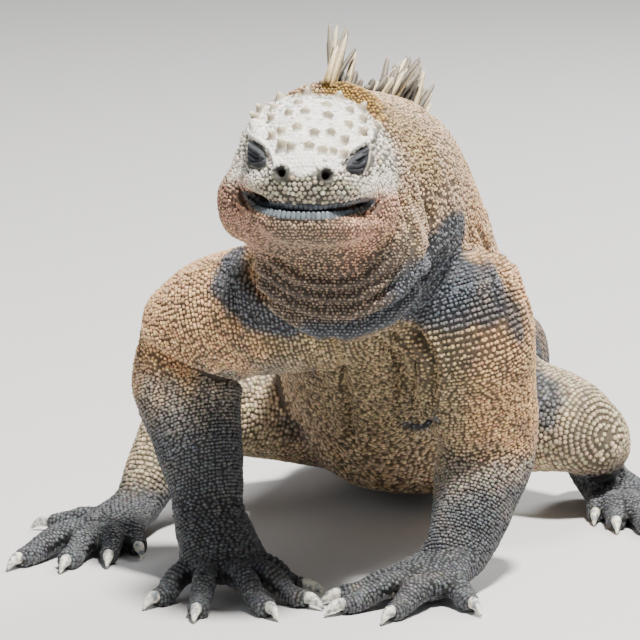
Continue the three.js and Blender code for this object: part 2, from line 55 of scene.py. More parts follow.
# A marine iguana: one skin over the whole body, small scales standing on it, crest spines,
# cones on the crown, claws and eyes. Forms are in millimetres and become metres at the end.
MM = 0.001
PELVIS_FLAT = np.array([-2.0, 54.0, 0.0])
VOXEL = 1.4
RELAX_ROUNDS = 30
SCALE_PITCH = 1.0  # multiplies the spacing of the scales
UP = np.array([0.0, 0.0, 1.0])
FORWARD = np.array([0.0, -1.0, 0.0])

# Body forms, the same numbers as the solids.
# Trunk rows: centre x, y, z, half width, height above the centre, depth below it, roll.
TRUNK = [
    (-38, -226, 188, 31, 36, 34, -3),
    (-32, -207, 176, 35, 42, 41, 0),
    (-21, -183, 160, 38, 52, 46, 6),
    (-14, -151, 143, 39.5, 58, 48, 11),
    (-9, -115, 121, 45, 56, 50, 12),
    (-5, -77, 97, 51, 52, 51, 8),
    (0, -39, 73, 55, 46, 51, 6),
    (3, -4, 53, 58, 40, 49, 3),
    (1, 24, 43, 52, 34, 39, 0),
    (-2, 52, 35, 42, 29, 36.6, 0),
    (-3, 84, 29, 30, 26, 30.6, 0),
    (16, 138, 25, 19, 25, 26.4, 0),
    (50, 198, 22, 14.5, 23.5, 23.2, 0),
    (62, 262, 19, 11.5, 21, 20.2, 0),
    (20, 315, 16.5, 9.2, 18, 17.5, 0),
    (-40, 342, 13.5, 7.4, 15, 14.4, 0),
    (-68, 396, 10.5, 5.6, 11.5, 11.2, 0),
    (-36, 450, 7.5, 3.9, 8, 8, 0),
    (24, 474, 4.2, 2.2, 4, 4.6, 0),
]
NECK_END = 1.6
TORSO_END = 9.4
HEAD_HALF = 40
HEAD_BACK = 26
HEAD_PLACE = (-41.5, -252, 195)
HEAD_PITCH = -3
HEAD_ROLL = 4.5
HEAD_YAW = -3
SKULL_SQUARE = 2.35  # 2 is an ellipse, more is squarer
JAW_SQUARE = 2.2
# Head rows: y, centre z, half width, height above the centre, depth below it
SKULL = [
    (-25, -11, 10, 6, 6),
    (-22, -10.5, 14, 8.5, 8),
    (-15, -8, 17.5, 12, 11),
    (-6, -5, 20.5, 16, 14),
    (4, -3, 23.5, 20, 16),
    (14, -3, 26.5, 23.5, 18),
    (25, -5, 29.5, 26.5, 22),
    (36, -9, 31, 28.5, 28),
]
MUZZLE = [
    (-24, -14.5, 13.5, 5, 4.5),
    (-20, -14, 19, 7, 5.5),
    (-11, -13.5, 24, 9, 6),
    (2, -12.5, 28.5, 10, 7),
    (16, -11.5, 31, 11, 8),
]
JAW = [
    (-23.5, -25.5, 13.5, 4.5, 5),
    (-19, -26, 19, 5.5, 7.5),
    (-9, -27, 24.5, 6.5, 9.5),
    (5, -28, 29, 8, 12),
    (20, -29, 32, 12, 15),
    (35, -30, 33, 14, 19),
]
JOWL_AT = (23.5, 18, -23)
JOWL_RADII = (12.5, 20, 17)
CHEEK_AT = (19.5, 19, -8)
CHEEK_RADII = (12, 17, 15)
THROAT_AT = (-29, -221, 149)
THROAT_RADII = (35, 27, 36)
BROW = [
    (12, -17.5, -1.5, 2.4, 2.2, 3),
    (16.5, -10.5, 2.5, 2.8, 2.4, 3),
    (21.5, -2.5, 6.5, 3.0, 2.6, 3),
    (25, 6, 10, 2.4, 2.2, 3),
]
EYE_AT = (18.6, -3.6, -0.5)
EYE_RADIUS = 6.2
LID = 1.2

# Limbs: centre x, y, z, half width, front half, back half
LIMBS = {
    "upper_arm_left": ([(18, -166, 127, 27, 26, 26), (23, -168, 108, 27.5, 26, 26),
        (28, -159, 82, 24.5, 23, 23), (34, -150, 60, 20.5, 19, 20)], 12, 13, FORWARD),
    "forearm_left": ([(35, -146, 62, 19, 18.5, 19), (31, -155, 48, 20, 18.5, 18),
        (25, -170, 30, 16, 14, 14), (19, -183, 16, 13.5, 9.5, 10)], 9, 6, FORWARD),
    "thigh_left": ([(16, 14, 43, 27, 26, 30), (38, -4, 45, 26, 24, 28),
        (60, -24, 45, 23, 21.5, 26), (76, -38, 42, 19.5, 19, 21)], 10, 14, UP),
    "shank_left": ([(80, -38, 39, 17, 17, 17), (83, -24, 32, 17.5, 16.5, 16.5),
        (84, -6, 23, 13.5, 13, 13), (85, 8, 15, 11, 10, 10.5)], 8, 7, UP),
    "upper_arm_right": ([(-30, -166, 121, 28, 28, 28), (-54, -163, 117, 27.5, 27.5, 27.5),
        (-80, -155, 112, 25.5, 25.5, 25.5), (-98, -147, 105, 19, 20.5, 19)],
        12, 13, FORWARD),
    "forearm_right": ([(-97, -143, 97, 18.5, 19, 18.5), (-95, -146, 82, 22, 21, 21),
        (-89, -156, 58, 18.5, 17, 17), (-84, -166, 37, 14.5, 10.5, 11)], 9, 6, FORWARD),
    "thigh_right": ([(-20, 14, 43, 27, 26, 30), (-44, 0, 45, 26, 24, 28),
        (-70, -16, 47, 22.5, 20.5, 23), (-88, -29, 47, 19, 18.5, 20)], 10, 13, UP),
    "shank_right": ([(-93, -31, 45, 17, 17, 17), (-101, -41, 38, 17.5, 16.5, 16.5),
        (-110, -54, 26, 13.5, 13, 13), (-116, -64, 15, 11, 10, 10.5)], 8, 7, UP),
}
# Palms and soles, then digits: root x, y, heading in degrees from +X, length, arch
PAWS = {
    "hand_left": ([(20, -181, 15, 13.5, 8.5, 9), (13, -189, 12, 15.5, 7.5, 9),
        (4, -198, 10, 17.5, 6.5, 10.1), (-1, -203, 8.5, 15.5, 6, 8.7)],
        [(8, -189, 176, 20, 5), (0, -197, 198, 29, 6), (-2, -204, 219, 33, 6),
        (6, -209, 243, 31, 5), (16, -202, 292, 21, 4)]),
    "hand_right": ([(-86, -164, 35, 14.5, 10, 10), (-83, -174, 27, 16.5, 8.5, 9),
        (-79, -186, 18, 18.5, 7.5, 9), (-76, -193, 12.5, 17, 7, 9)],
        [(-66, -184, -14, 20, 5), (-67, -194, -40, 29, 5), (-74, -200, -64, 33, 5),
        (-84, -200, -97, 32, 5), (-92, -192, -124, 22, 4)]),
    "foot_left": ([(86, 8, 13, 11.5, 8, 10), (90, -6, 11, 13, 7.5, 9.5),
        (94, -22, 9, 15, 6.5, 9.2), (96, -30, 8, 14, 6, 8.3)],
        [(86, -29, 263, 16, 3), (92, -35, 270, 27, 4), (99, -36, 280, 38, 5),
        (106, -30, 294, 46, 5), (103, -10, 335, 25, 3)]),
    "foot_right": ([(-117, -65, 13, 11.5, 8, 10), (-122, -77, 11, 13, 7.5, 9.5),
        (-129, -91, 9, 15, 6.5, 9.2), (-132, -98, 8, 14, 6, 8.3)],
        [(-120, -98, 283, 16, 3), (-127, -104, 268, 27, 4), (-135, -104, 255, 38, 5),
        (-142, -97, 240, 46, 5), (-131, -74, 160, 25, 3)]),
}
PALM_DOMES = (4, 5)
DIGIT_RADIUS = 5.1
TIP_RADIUS = 4.2
ROOT_INSET = 7
KNUCKLE = 0.36
CLAW_LENGTH = 9.5
CLAW_RADIUS = 2.2

# Crest: height along the trunk rows, and the form of a spine
CREST_HEIGHTS = [
    (0.05, 24), (0.35, 29), (0.65, 23), (0.9, 6), (1.25, 5), (1.6, 16), (2.0, 22), (2.6, 20),
    (3.2, 14), (4, 10), (6, 8.5), (9, 7.5), (11, 8.5), (13, 7), (15, 4.5), (17, 2.6),
]
NAPE_END = 3.4
CREST_NAPE_SPACING = 4.4
CREST_SPACING = 6.3
CREST_TAIL_SPACING = 9.5
CREST_LENGTH = 5.6
CREST_THICK = 3.4
CREST_LEAN = 14
CREST_LEAN_SPREAD = 5
CREST_SWAY = 9
CREST_HEIGHT_SPREAD = 0.14
CREST_TAIL_GAP = 1.35  # rows at the tip of the tail that bear no spine
# Cones on the crown, as the solids have them
CONE_ROWS = 5
CONES_PER_ROW = 6
CONES_START = 2.1  # in rows of the skull
CONES_SPAN = 3.3
CONE_FRONT_REACH = 0.66
CONE_BACK_REACH = 0.98
CONE_HEIGHT = 2.4
CONE_EDGE_HEIGHT = 4.4
CONE_RADIUS = 2.4
# Height along a spine or a cone as a share of its height, and width there as a share of its width
SPINE_PROFILE = ((-0.18, 1.0), (0.0, 1.0), (0.25, 0.98), (0.5, 0.92), (0.75, 0.8), (0.9, 0.58), (1.0, 0.2))
CONE_PROFILE = ((-0.5, 1.25), (0.0, 1.1), (0.3, 0.8), (0.6, 0.5), (0.85, 0.28), (1.0, 0.08))
SPINE_SIDES = 10
KEELS = 5
KEEL_DEPTH = 0.16
SPINE_SEED = 20241
TALL_SPINE = 11
FRAYED_SPINE = 18

# Face, in millimetres
MOUTH_DEPTH = 2.8
UPPER_LIP_RISE = 0.8
LOWER_LIP_RISE = 1.1
NOSTRIL_DEPTH = 5.0
OPENINGS_BACK = 8  # lips, lids and nostrils end in front of this y of the head
FACE_MIDDLE = (0, 6, -12)
EYE_REACH = 14
MOUTH_REACH = 8
LIPS_START = 0.05  # the lips begin where they are this full
PLATE_SIDES = 10
PLATE_WIDTH = 2.0

# Scales and bare skin
SCALE_SIDES = 5
SCALE_FILL = 0.57  # half width as a share of the pitch
ROW_SPACING = 0.87
CROWDING = 0.72  # no scale stands nearer to another than this share of the pitch
RAY_LIFT = 9.0
SCALE_FLOOR = 0.9
SCALE_SPREAD = 0.1  # spread of the sizes, then of the tones and hues of single scales
TONE_SPREAD = 0.26
HUE_SPREAD = 0.05
SHOULDER = (0.74, 0.72)  # width and height of the shoulder as shares of the scale's
RIM_SINK = 0.35
TIP_LEAN = 0.18
NECK_SCALES_END = NECK_END + 0.8
TRUNK_SCALES_MIDDLE = 5.2
TAIL_SCALES_START = TORSO_END + 0.6
DIGIT_PITCH = 1.9
FLOOR_CLEARANCE = 0.15
# brightness of the bare skin between the scales: a painted shade
BARE_SKIN_SHADE = 0.24
BAKE_TILES = 6
BAKE_PATCH = 0.0014
DOME_TURNS = np.radians([22, 45, 66, 80])

# Camera, from the photograph's framing: eyes 67 mm above the middle of the picture
PHOTO_SIZE = 640
MM_PER_PIXEL = 0.41
CAMERA_TARGET = np.array([-37.9, -200.0, 118.0])
CAMERA_DISTANCE = 2200.0
CAMERA_ELEVATION = 10
SENSOR = 36.0

# Studio, in metres: place, size, power and tint of each light
LIGHTS = {
    "key": ((0.36, -0.9, 2.15), 0.32, 158, (1, 0.97, 0.93)),
    "fill": ((-1.5, -1.5, 0.9), 1.4, 7, (0.9, 0.95, 1)),
    "rim": ((0.9, 1.2, 1.3), 0.8, 42, (1, 1, 1)),
}
LIGHT_AIM = (-0.03, -0.22, 0.1)
SKY = (0.8, 0.84, 0.9, 1)
SKY_STRENGTH = 0.3
FLOOR_HALF = 6.0

rng = np.random.default_rng(7)


# Numbers

def unit(v):
    v = np.asarray(v, float)
    return v / np.maximum(np.linalg.norm(v, axis=-1, keepdims=True), 1e-9)


def ease(low, high, value):
    """0 below low, 1 above high, smooth between."""
    t = np.clip((value - low) / (high - low), 0, 1)
    return t * t * (3 - 2 * t)


def bell(offset, width):
    return np.exp(-((offset / width) ** 2))


def mix(a, b, weight):
    return a + (b - a) * np.asarray(weight)[..., None]


def colour(text):
    """Linear colour of a hex colour as seen on a screen."""
    srgb = np.array([int(text[k:k + 2], 16) for k in (0, 2, 4)]) / 255
    return np.where(srgb <= 0.04045, srgb / 12.92, ((srgb + 0.055) / 1.055) ** 2.4)


def world(points):
    return (np.asarray(points, float) - PELVIS_FLAT) * MM


def sample(rows, u):
    """Smooth curve through rows at each u, counted in rows."""
    rows = np.asarray(rows, float)
    padded = np.vstack([2 * rows[0] - rows[1], rows, 2 * rows[-1] - rows[-2]])
    u = np.atleast_1d(np.asarray(u, float))
    i = np.clip(np.floor(u).astype(int), 0, len(rows) - 2)
    f = (u - i)[:, None]
    p, q, r, s = (padded[i + k] for k in range(4))
    return 0.5 * (2 * q + (r - p) * f + (2 * p - 5 * q + 4 * r - s) * f**2 + (3 * q - p - 3 * r + s) * f**3)


def lengths_along(points):
    """Distance of each point from the first, along the polyline."""
    return np.concatenate([[0], np.cumsum(np.linalg.norm(np.diff(points, axis=0), axis=1))])


def curve_distance(points, path):
    """Distance of each point from a polyline."""
    best = np.full(len(points), 1e9)
    for a, b in zip(path[:-1], path[1:]):
        ab = b - a
        t = np.clip((points - a) @ ab / max(ab @ ab, 1e-9), 0, 1)
        best = np.minimum(best, np.linalg.norm(points - (a + t[:, None] * ab), axis=1))
    return best


def smooth_path(points, per_leg=6):
    if len(points) < 3:
        return np.asarray(points, float)
    return sample(points, np.linspace(0, len(points) - 1, per_leg * (len(points) - 1) + 1))


def sections(rows, u, up=UP):
    """Centre, direction, sideways, upward and half sizes at each u."""
    here = sample(rows, u)
    along = unit(sample(rows, np.asarray(u) + 0.02)[:, :3] - sample(rows, np.asarray(u) - 0.02)[:, :3])
    side = unit(np.cross(along, np.broadcast_to(up, along.shape)))
    roll = np.radians(here[:, 6:7]) if here.shape[1] > 6 else np.zeros((len(here), 1))
    share = along * np.sum(along * side, axis=1, keepdims=True)
    side = side * np.cos(roll) + np.cross(along, side) * np.sin(roll) + share * (1 - np.cos(roll))
    return {"centre": here[:, :3], "along": along, "side": side, "rise": np.cross(side, along),
            "wide": here[:, 3], "above": here[:, 4], "below": here[:, 5]}


def section_at(rows, u):
    return {name: value[0] for name, value in sections(rows, [u]).items()}


def rim(s, angles, square=2.0):
    """Points round each section at the given angles: an array of sections by angles."""
    cos, sin = np.cos(angles), np.sin(angles)
    bend_c = np.sign(cos) * np.abs(cos) ** (2 / square)
    bend_s = np.sign(sin) * np.abs(sin) ** (2 / square)
    high = np.where(sin >= 0, s["above"][:, None], s["below"][:, None])
    across = s["side"][:, None] * (s["wide"][:, None] * bend_c)[..., None]
    return s["centre"][:, None] + across + s["rise"][:, None] * (high * bend_s)[..., None]


# Meshes of tubes and balls, as (points, faces)

def quads(rings, sides, turned=False):
    """Faces between neighbouring rings of points."""
    faces = []
    for low in range(0, (rings - 1) * sides, sides):
        for k in range(sides):
            m = (k + 1) % sides
            a, b, c, d = low + k, low + sides + k, low + sides + m, low + m
            faces.append((a, d, c, b) if turned else (a, b, c, d))
    return faces


def closed_faces(rings, sides):
    """Faces of rings of points, which one more point closes at the start and one at the end."""
    faces = quads(rings, sides)
    first, last = rings * sides, (rings - 1) * sides
    for k in range(sides):
        m = (k + 1) % sides
        faces += [(first, k, m), (first + 1, last + m, last + k)]
    return faces


def tube(rows, steps, sides, up=UP, start_dome=0.0, end_dome=0.0, square=2.0):
    s = sections(rows, np.linspace(0, len(rows) - 1, steps + 1), up)
    rings = list(rim(s, np.arange(sides) * 2 * math.pi / sides, square))
    for length, sign, index in ((start_dome, -1, 0), (end_dome, 1, -1)):
        if not length:
            continue
        centre, along = s["centre"][index], s["along"][index]
        edge = rings[index] - centre
        domes = [centre + edge * math.cos(t) + sign * along * length * math.sin(t) for t in DOME_TURNS]
        rings = domes[::-1] + rings if sign < 0 else rings + domes
    start = s["centre"][0] - s["along"][0] * start_dome
    end = s["centre"][-1] + s["along"][-1] * end_dome
    return np.vstack(rings + [start[None], end[None]]), closed_faces(len(rings), sides)


def ball(at, radii, wide=32, high=20):
    rows = []
    for j in range(1, high):
        t = math.pi * j / high
        rows.append([(math.sin(t) * math.cos(a), math.sin(t) * math.sin(a), math.cos(t))
                     for a in np.arange(wide) * 2 * math.pi / wide])
    points = np.vstack([np.array(rows).reshape(-1, 3), [[0, 0, 1], [0, 0, -1]]])
    return points * np.array(radii) + np.array(at), closed_faces(high - 1, wide)


def joined(forms):
    points, faces, offset = [], [], 0
    for form_points, form_faces in forms:
        points.append(form_points)
        faces.extend(tuple(i + offset for i in face) for face in form_faces)
        offset += len(form_points)
    return np.vstack(points), faces


def linked(name, data):
    made = bpy.data.objects.new(name, data)
    bpy.context.scene.collection.objects.link(made)
    return made


def make_object(name, points, faces):
    mesh = bpy.data.meshes.new(name)
    mesh.from_pydata([tuple(p) for p in points], [], faces)
    mesh.update()
    mesh.shade_smooth()
    return linked(name, mesh)


def tinted_object(name, forms, tones):
    """One object of many forms in millimetres, with a colour for each point."""
    points, faces = joined(forms)
    made = make_object(name, world(points), faces)
    set_colours(made.data, np.vstack(tones))
    return made


def set_colours(mesh, colours):
    rgba = np.ones((len(colours), 4))
    rgba[:, :3] = np.clip(colours, 0, 1)
    mesh.attributes.new("tint", "FLOAT_COLOR", "POINT").data.foreach_set("color", rgba.ravel())


# Head frame

HEAD_TURN = np.array((Matrix.Rotation(math.radians(HEAD_YAW), 4, "Z")
                      @ Matrix.Rotation(math.radians(HEAD_ROLL), 4, "Y")
                      @ Matrix.Rotation(math.radians(HEAD_PITCH), 4, "X")).to_3x3())


def from_head(points):
    return np.asarray(points, float) @ HEAD_TURN.T + np.array(HEAD_PLACE)


def to_head(points):
    return (np.asarray(points, float) - np.array(HEAD_PLACE)) @ HEAD_TURN


def from_middle(head, middle, scale=(1, 1, 1)):
    """Distance in the head frame from a point of it."""
    return np.linalg.norm((head - np.array(middle)) * scale, axis=1)


def with_x(rows):
    return [(0, *row) for row in rows]


def flip(row, side):
    return (row[0] * side, *row[1:])


# Forms of the skin

def head_forms():
    forms = [
        tube(with_x(SKULL), 40, 48, start_dome=2.5, square=SKULL_SQUARE),
        tube(with_x(MUZZLE), 30, 40, start_dome=2, end_dome=4, square=JAW_SQUARE),
        tube(with_x(JAW), 30, 40, start_dome=2.5, square=JAW_SQUARE),
    ]
    for side in (-1, 1):
        forms.append(ball(flip(JOWL_AT, side), JOWL_RADII))
        forms.append(ball(flip(CHEEK_AT, side), CHEEK_RADII))
        forms.append(ball(flip(EYE_AT, side), [EYE_RADIUS + LID] * 3))
        forms.append(tube([flip(row, side) for row in BROW], 16, 12, start_dome=2.5, end_dome=2.5))
    return [(from_head(points), faces) for points, faces in forms]


def along_digit(digit, steps):
    """Rows at distances along a digit, each with its height, radius and height to width."""
    x, y, heading = digit[:3]
    dx, dy = math.cos(math.radians(heading)), math.sin(math.radians(heading))
    return [(x + dx * s, y + dy * s, z, r, r * tall, r * tall) for s, z, r, tall in steps]


def digit_rows(palm, digit):
    length, arch = digit[3:]
    root_height = palm[-1][2] - 0.5
    return along_digit(digit, [
        (-ROOT_INSET, root_height, DIGIT_RADIUS * 0.95, 1),
        (length * KNUCKLE, max(root_height * 0.7, DIGIT_RADIUS) + arch * 0.5, DIGIT_RADIUS, 1),
        (length * 0.75, TIP_RADIUS + 0.4, TIP_RADIUS + 0.2, 1),
        (length, TIP_RADIUS - 0.5, TIP_RADIUS, 1),
    ])


def claw_rows(digit):
    length = digit[3]
    return along_digit(digit, [
        (length, 4.2, CLAW_RADIUS, 1.15),
        (length + CLAW_LENGTH * 0.45, 4.6, CLAW_RADIUS, 1.15),
        (length + CLAW_LENGTH * 0.85, 3.2, CLAW_RADIUS * 0.66, 1.15),
        (length + CLAW_LENGTH * 1.15, 0.9, 0.4, 1.15),
    ])


def skin_forms():
    forms = [tube(TRUNK, 150, 56, end_dome=3), ball(THROAT_AT, THROAT_RADII), *head_forms()]
    for rows, start_dome, end_dome, up in LIMBS.values():
        forms.append(tube(rows, 24, 32, up, start_dome, end_dome))
    for palm, digits in PAWS.values():
        forms.append(tube(palm, 16, 24, start_dome=PALM_DOMES[0], end_dome=PALM_DOMES[1]))
        for digit in digits:
            forms.append(tube(digit_rows(palm, digit), 16, 16, start_dome=2, end_dome=3))
    return forms


# Work on a mesh

def read(items, field, width, kind=float):
    values = np.empty(len(items) * width, dtype=kind)
    items.foreach_get(field, values)
    return values.reshape(-1, width)


def set_points(mesh, points):
    mesh.vertices.foreach_set("co", points.ravel())
    mesh.update()


def remeshed(points, faces):
    source = make_object("skin_source", points, faces)
    modifier = source.modifiers.new("voxels", "REMESH")
    modifier.mode = "VOXEL"
    modifier.voxel_size = VOXEL
    graph = bpy.context.evaluated_depsgraph_get()
    mesh = bpy.data.meshes.new_from_object(source.evaluated_get(graph))
    bpy.data.objects.remove(source)
    return mesh


def refined(mesh, chosen):
    """Splits each edge whose two ends are both chosen in half."""
    work = bmesh.new()
    work.from_mesh(mesh)
    work.verts.ensure_lookup_table()
    inside = chosen(to_head(np.array([v.co for v in work.verts])))
    edges = [e for e in work.edges if inside[e.verts[0].index] and inside[e.verts[1].index]]
    bmesh.ops.subdivide_edges(work, edges=edges, cuts=1, use_grid_fill=True)
    work.to_mesh(mesh)
    work.free()
    mesh.update()


def relaxed(mesh, weights, rounds):
    """Moves each point towards the middle of its neighbours by its weight."""
    points = read(mesh.vertices, "co", 3)
    edges = read(mesh.edges, "vertices", 2, np.int64)
    a, b = edges.T
    size = len(points)
    count = np.bincount(edges.ravel(), minlength=size)[:, None]
    for _ in range(rounds):
        total = np.stack([np.bincount(a, points[b, k], size) + np.bincount(b, points[a, k], size)
                          for k in range(3)], 1)
        points = points + weights[:, None] * (total / count - points)
    set_points(mesh, points)
    return points


def digit_nearness(points):
    """1 on the digits, 0 on the large forms, which may be smoothed more."""
    near = np.zeros(len(points))
    for palm, digits in PAWS.values():
        for digit in digits:
            path = sample(digit_rows(palm, digit), np.linspace(0.6, 3, 9))[:, :3]
            near = np.maximum(near, 1 - ease(6, 12, curve_distance(points, path)))
    return near


def tree_of(points, mesh):
    return BVHTree.FromPolygons([tuple(p) for p in points], [tuple(p.vertices) for p in mesh.polygons])


# Camera

TILT = math.radians(CAMERA_ELEVATION)
AHEAD = np.array([0, math.cos(TILT), -math.sin(TILT)])
RIGHT = np.array([1.0, 0, 0])
ABOVE = np.cross(RIGHT, AHEAD)
CAMERA_PLACE = CAMERA_TARGET - AHEAD * CAMERA_DISTANCE
HALF_PHOTO = PHOTO_SIZE / 2


def seen(tree, u, v):
    """Place and normal of the skin at a pixel of the photograph, and the camera's direction there."""
    offset = RIGHT * (u - HALF_PHOTO) * MM_PER_PIXEL + ABOVE * (HALF_PHOTO - v) * MM_PER_PIXEL
    direction = unit(AHEAD * CAMERA_DISTANCE + offset)
    hit, normal, _, _ = tree.ray_cast(Vector(CAMERA_PLACE), Vector(direction))
    return hit, normal, direction


def on_skin(tree, pixels):
    """The places on the skin that the camera sees along a path of pixels."""
    hits = [seen(tree, u, v)[0] for u, v in smooth_path(pixels)]
    return np.array([np.array(hit) for hit in hits if hit is not None])


def photo_place(points):
    """Pixel of the photograph at which the camera sees each point."""
    offset = points - CAMERA_PLACE
    size = CAMERA_DISTANCE / (offset @ AHEAD) / MM_PER_PIXEL
    return np.stack([HALF_PHOTO + offset @ RIGHT * size, HALF_PHOTO - offset @ ABOVE * size], 1)


def inside_outline(places, outline):
    """Distance inside a closed smooth outline of pixels, negative outside it."""
    legs = len(outline)
    path = np.array([*outline, *outline[:3]], float)
    loop = sample(path, np.linspace(1, legs + 1, legs * 5 + 1))
    crossings = np.zeros(len(places), int)
    for a, b in zip(loop[:-1], loop[1:]):
        spans = (a[1] > places[:, 1]) != (b[1] > places[:, 1])
        cut = a[0] + (places[:, 1] - a[1]) * (b[0] - a[0]) / (b[1] - a[1] + 1e-12)
        crossings += spans & (places[:, 0] < cut)
    far = curve_distance(places, loop)
    return np.where(crossings % 2 == 1, far, -far)


def make_camera():
    data = bpy.data.cameras.new("photo_camera")
    data.sensor_width = SENSOR
    data.lens = SENSOR * CAMERA_DISTANCE / (MM_PER_PIXEL * PHOTO_SIZE)
    data.clip_end = 20
    made = linked("photo_camera", data)
    turned = Matrix((tuple(RIGHT), tuple(ABOVE), tuple(-AHEAD))).transposed()
    made.matrix_world = Matrix.Translation(world(CAMERA_PLACE)) @ turned.to_4x4()
    bpy.context.scene.camera = made


# Folds and creases, each by a few pixels of the photograph: points, half width, depth and
# height of the swelling beside it, in millimetres
FOLDS = [
    ([(238, 238), (258, 286), (298, 316), (345, 325), (398, 304), (438, 256)], 2.6, 3.4, 1.4),
    ([(262, 262), (300, 288), (350, 292), (396, 268)], 1.6, 1.3, 0.8),
    ([(256, 272), (300, 300), (350, 305), (402, 282)], 1.6, 1.4, 0.8),
    ([(270, 252), (305, 274), (350, 278), (388, 256)], 1.4, 1.0, 0.6),
    ([(396, 196), (410, 232), (400, 270), (380, 292)], 2.4, 2.2, 1.2),
    ([(418, 178), (430, 222), (424, 262)], 2.2, 1.6, 0.9),
    ([(440, 176), (450, 214), (448, 244)], 2.0, 1.2, 0.8),
    ([(334, 334), (344, 380), (352, 440)], 2.4, 2.4, 1.2),
    ([(376, 334), (398, 362), (396, 402)], 1.6, 1.8, 1.0),
    ([(392, 328), (416, 360), (414, 404)], 1.8, 2.2, 1.2),
    ([(410, 322), (433, 360), (432, 408)], 2.2, 3.4, 1.6),
    ([(402, 422), (420, 424), (440, 418)], 1.8, 3.0, 1.2),
    ([(146, 346), (188, 368), (238, 380)], 2.6, 3.2, 1.4),
    ([(222, 268), (234, 300), (240, 338)], 2.0, 1.2, 0.8),
    ([(330, 432), (372, 456), (430, 462)], 2.4, 1.4, 1.0),
    ([(474, 226), (500, 274), (516, 320)], 2.0, 1.2, 0.8),
    ([(488, 222), (514, 272), (530, 322)], 1.8, 1.0, 0.7),
]
FACE_FOLDS = [
    # smile corners, cheeks and chin
    ([(238, 185), (241, 191), (243, 198), (249, 206)], 0.8, 1.1, 0.6),
    ([(383, 195), (378, 201), (375, 207), (370, 213)], 0.8, 1.1, 0.6),
    ([(232, 196), (236, 206), (243, 214)], 0.9, 0.6, 0.4),
    ([(390, 204), (385, 213), (378, 220)], 0.9, 0.6, 0.4),
    ([(250, 224), (268, 238), (300, 246), (345, 246), (372, 234)], 1.8, 1.1, 0.8),
    ([(268, 229), (300, 235), (345, 235), (362, 228)], 1.5, 0.6, 0.4),
    # edges of the brows
    ([(247, 137), (257, 144), (266, 152), (270, 163)], 0.8, 1.6, 0.8),
    ([(371, 143), (360, 149), (350, 157), (341, 167)], 0.8, 1.6, 0.8),
]
LID_WRINKLES = [
    [(250, 147), (255, 152), (262, 156)],
    [(249, 159), (255, 164), (264, 164)],
    [(250, 155), (255, 160), (262, 161), (266, 158)],
    [(366, 152), (357, 156), (351, 160)],
    [(366, 163), (357, 168), (348, 168)],
    [(366, 158), (356, 163), (348, 164)],
    [(362, 170), (354, 172), (349, 171)],
]
EYE_SLITS = [
    [(250, 151), (256, 156.5), (263, 159)],
    [(367, 155), (357, 159.5), (349, 162)],
]
LID_OUTLINES = [
    [(249, 140), (256.5, 145), (262.7, 148.5), (266, 154), (267, 160), (266, 166), (260, 168),
     (254, 166.5), (249.5, 163), (247, 156), (247.8, 148)],
    [(369, 145.5), (360.4, 149.7), (353.6, 154.5), (348.8, 159.3), (345.4, 166), (347, 171), (352, 173.5),
     (358, 174), (363.2, 171.6), (366.6, 165.5), (368.4, 158)],
]
CROWN_OUTLINE = [
    (245, 125), (250, 112), (262, 104), (282, 99), (310, 97), (340, 100), (360, 108), (371, 122), (374, 134),
    (371, 143), (358, 150), (347, 160), (340, 172), (332, 169), (318, 167), (310, 175), (300, 178),
    (293, 173), (284, 164), (274, 167), (268, 158), (260, 145.5), (248, 138),
]
TEMPLE_OUTLINES = [
    [(229, 140), (238, 134), (246, 140), (246, 158), (240, 168), (228, 168), (224, 155)],
    [(374, 140), (382, 138), (390, 150), (390, 166), (380, 172), (372, 166), (371, 152)],
]
NAPE_OUTLINE = [
    (260, 102), (280, 86), (310, 76), (350, 75), (368, 90), (378, 112), (370, 114), (358, 104), (340, 97),
    (310, 94), (282, 96), (264, 106),
]
CHIN_OUTLINE = [
    (250, 214), (272, 220), (310, 222), (345, 220), (368, 210), (374, 222), (362, 238), (310, 244),
    (262, 240), (248, 228),
]
SNOUT_OUTLINE = [
    (256, 186), (270, 180), (282, 182), (300, 174), (311, 174), (325, 184), (340, 180), (356, 186),
    (360, 192), (345, 200), (310, 203.5), (284, 202), (262, 195),
]
NOSTRILS = [(281.4, 173), (325.6, 176)]
NOSTRIL_RADIUS = 1.45
NOSTRIL_RING = 2.6
# Line between the lips, and the height of the band on each side of it, in pixels
MOUTH_LINE = [(242, 192), (251, 199), (262, 205.5), (280, 209.5), (300, 211), (325, 211), (345, 208.5),
              (362, 204.5), (375, 201)]
UPPER_LIP = 7.0
LOWER_LIP = 7.8


def crease(points, normals, path, half_width, depth, lip, measured=None):
    """Sinks the skin along a path, in space or, where measured is given, across the camera's view."""
    if len(path) < 2:
        return points
    measured = points if measured is None else measured
    low, high = path.min(0) - 4 * half_width, path.max(0) + 4 * half_width
    near = np.all((measured > low) & (measured < high), axis=1)
    far = curve_distance(measured[near], path)
    ends = np.minimum(np.linalg.norm(measured[near] - path[0], axis=1),
                      np.linalg.norm(measured[near] - path[-1], axis=1))
    push = -depth * bell(far, half_width)
    push += lip * bell(far - 2.1 * half_width, half_width)
    out = points.copy()
    out[near] += normals[near] * (push * ease(0, 3 * half_width, ends))[:, None]
    return out


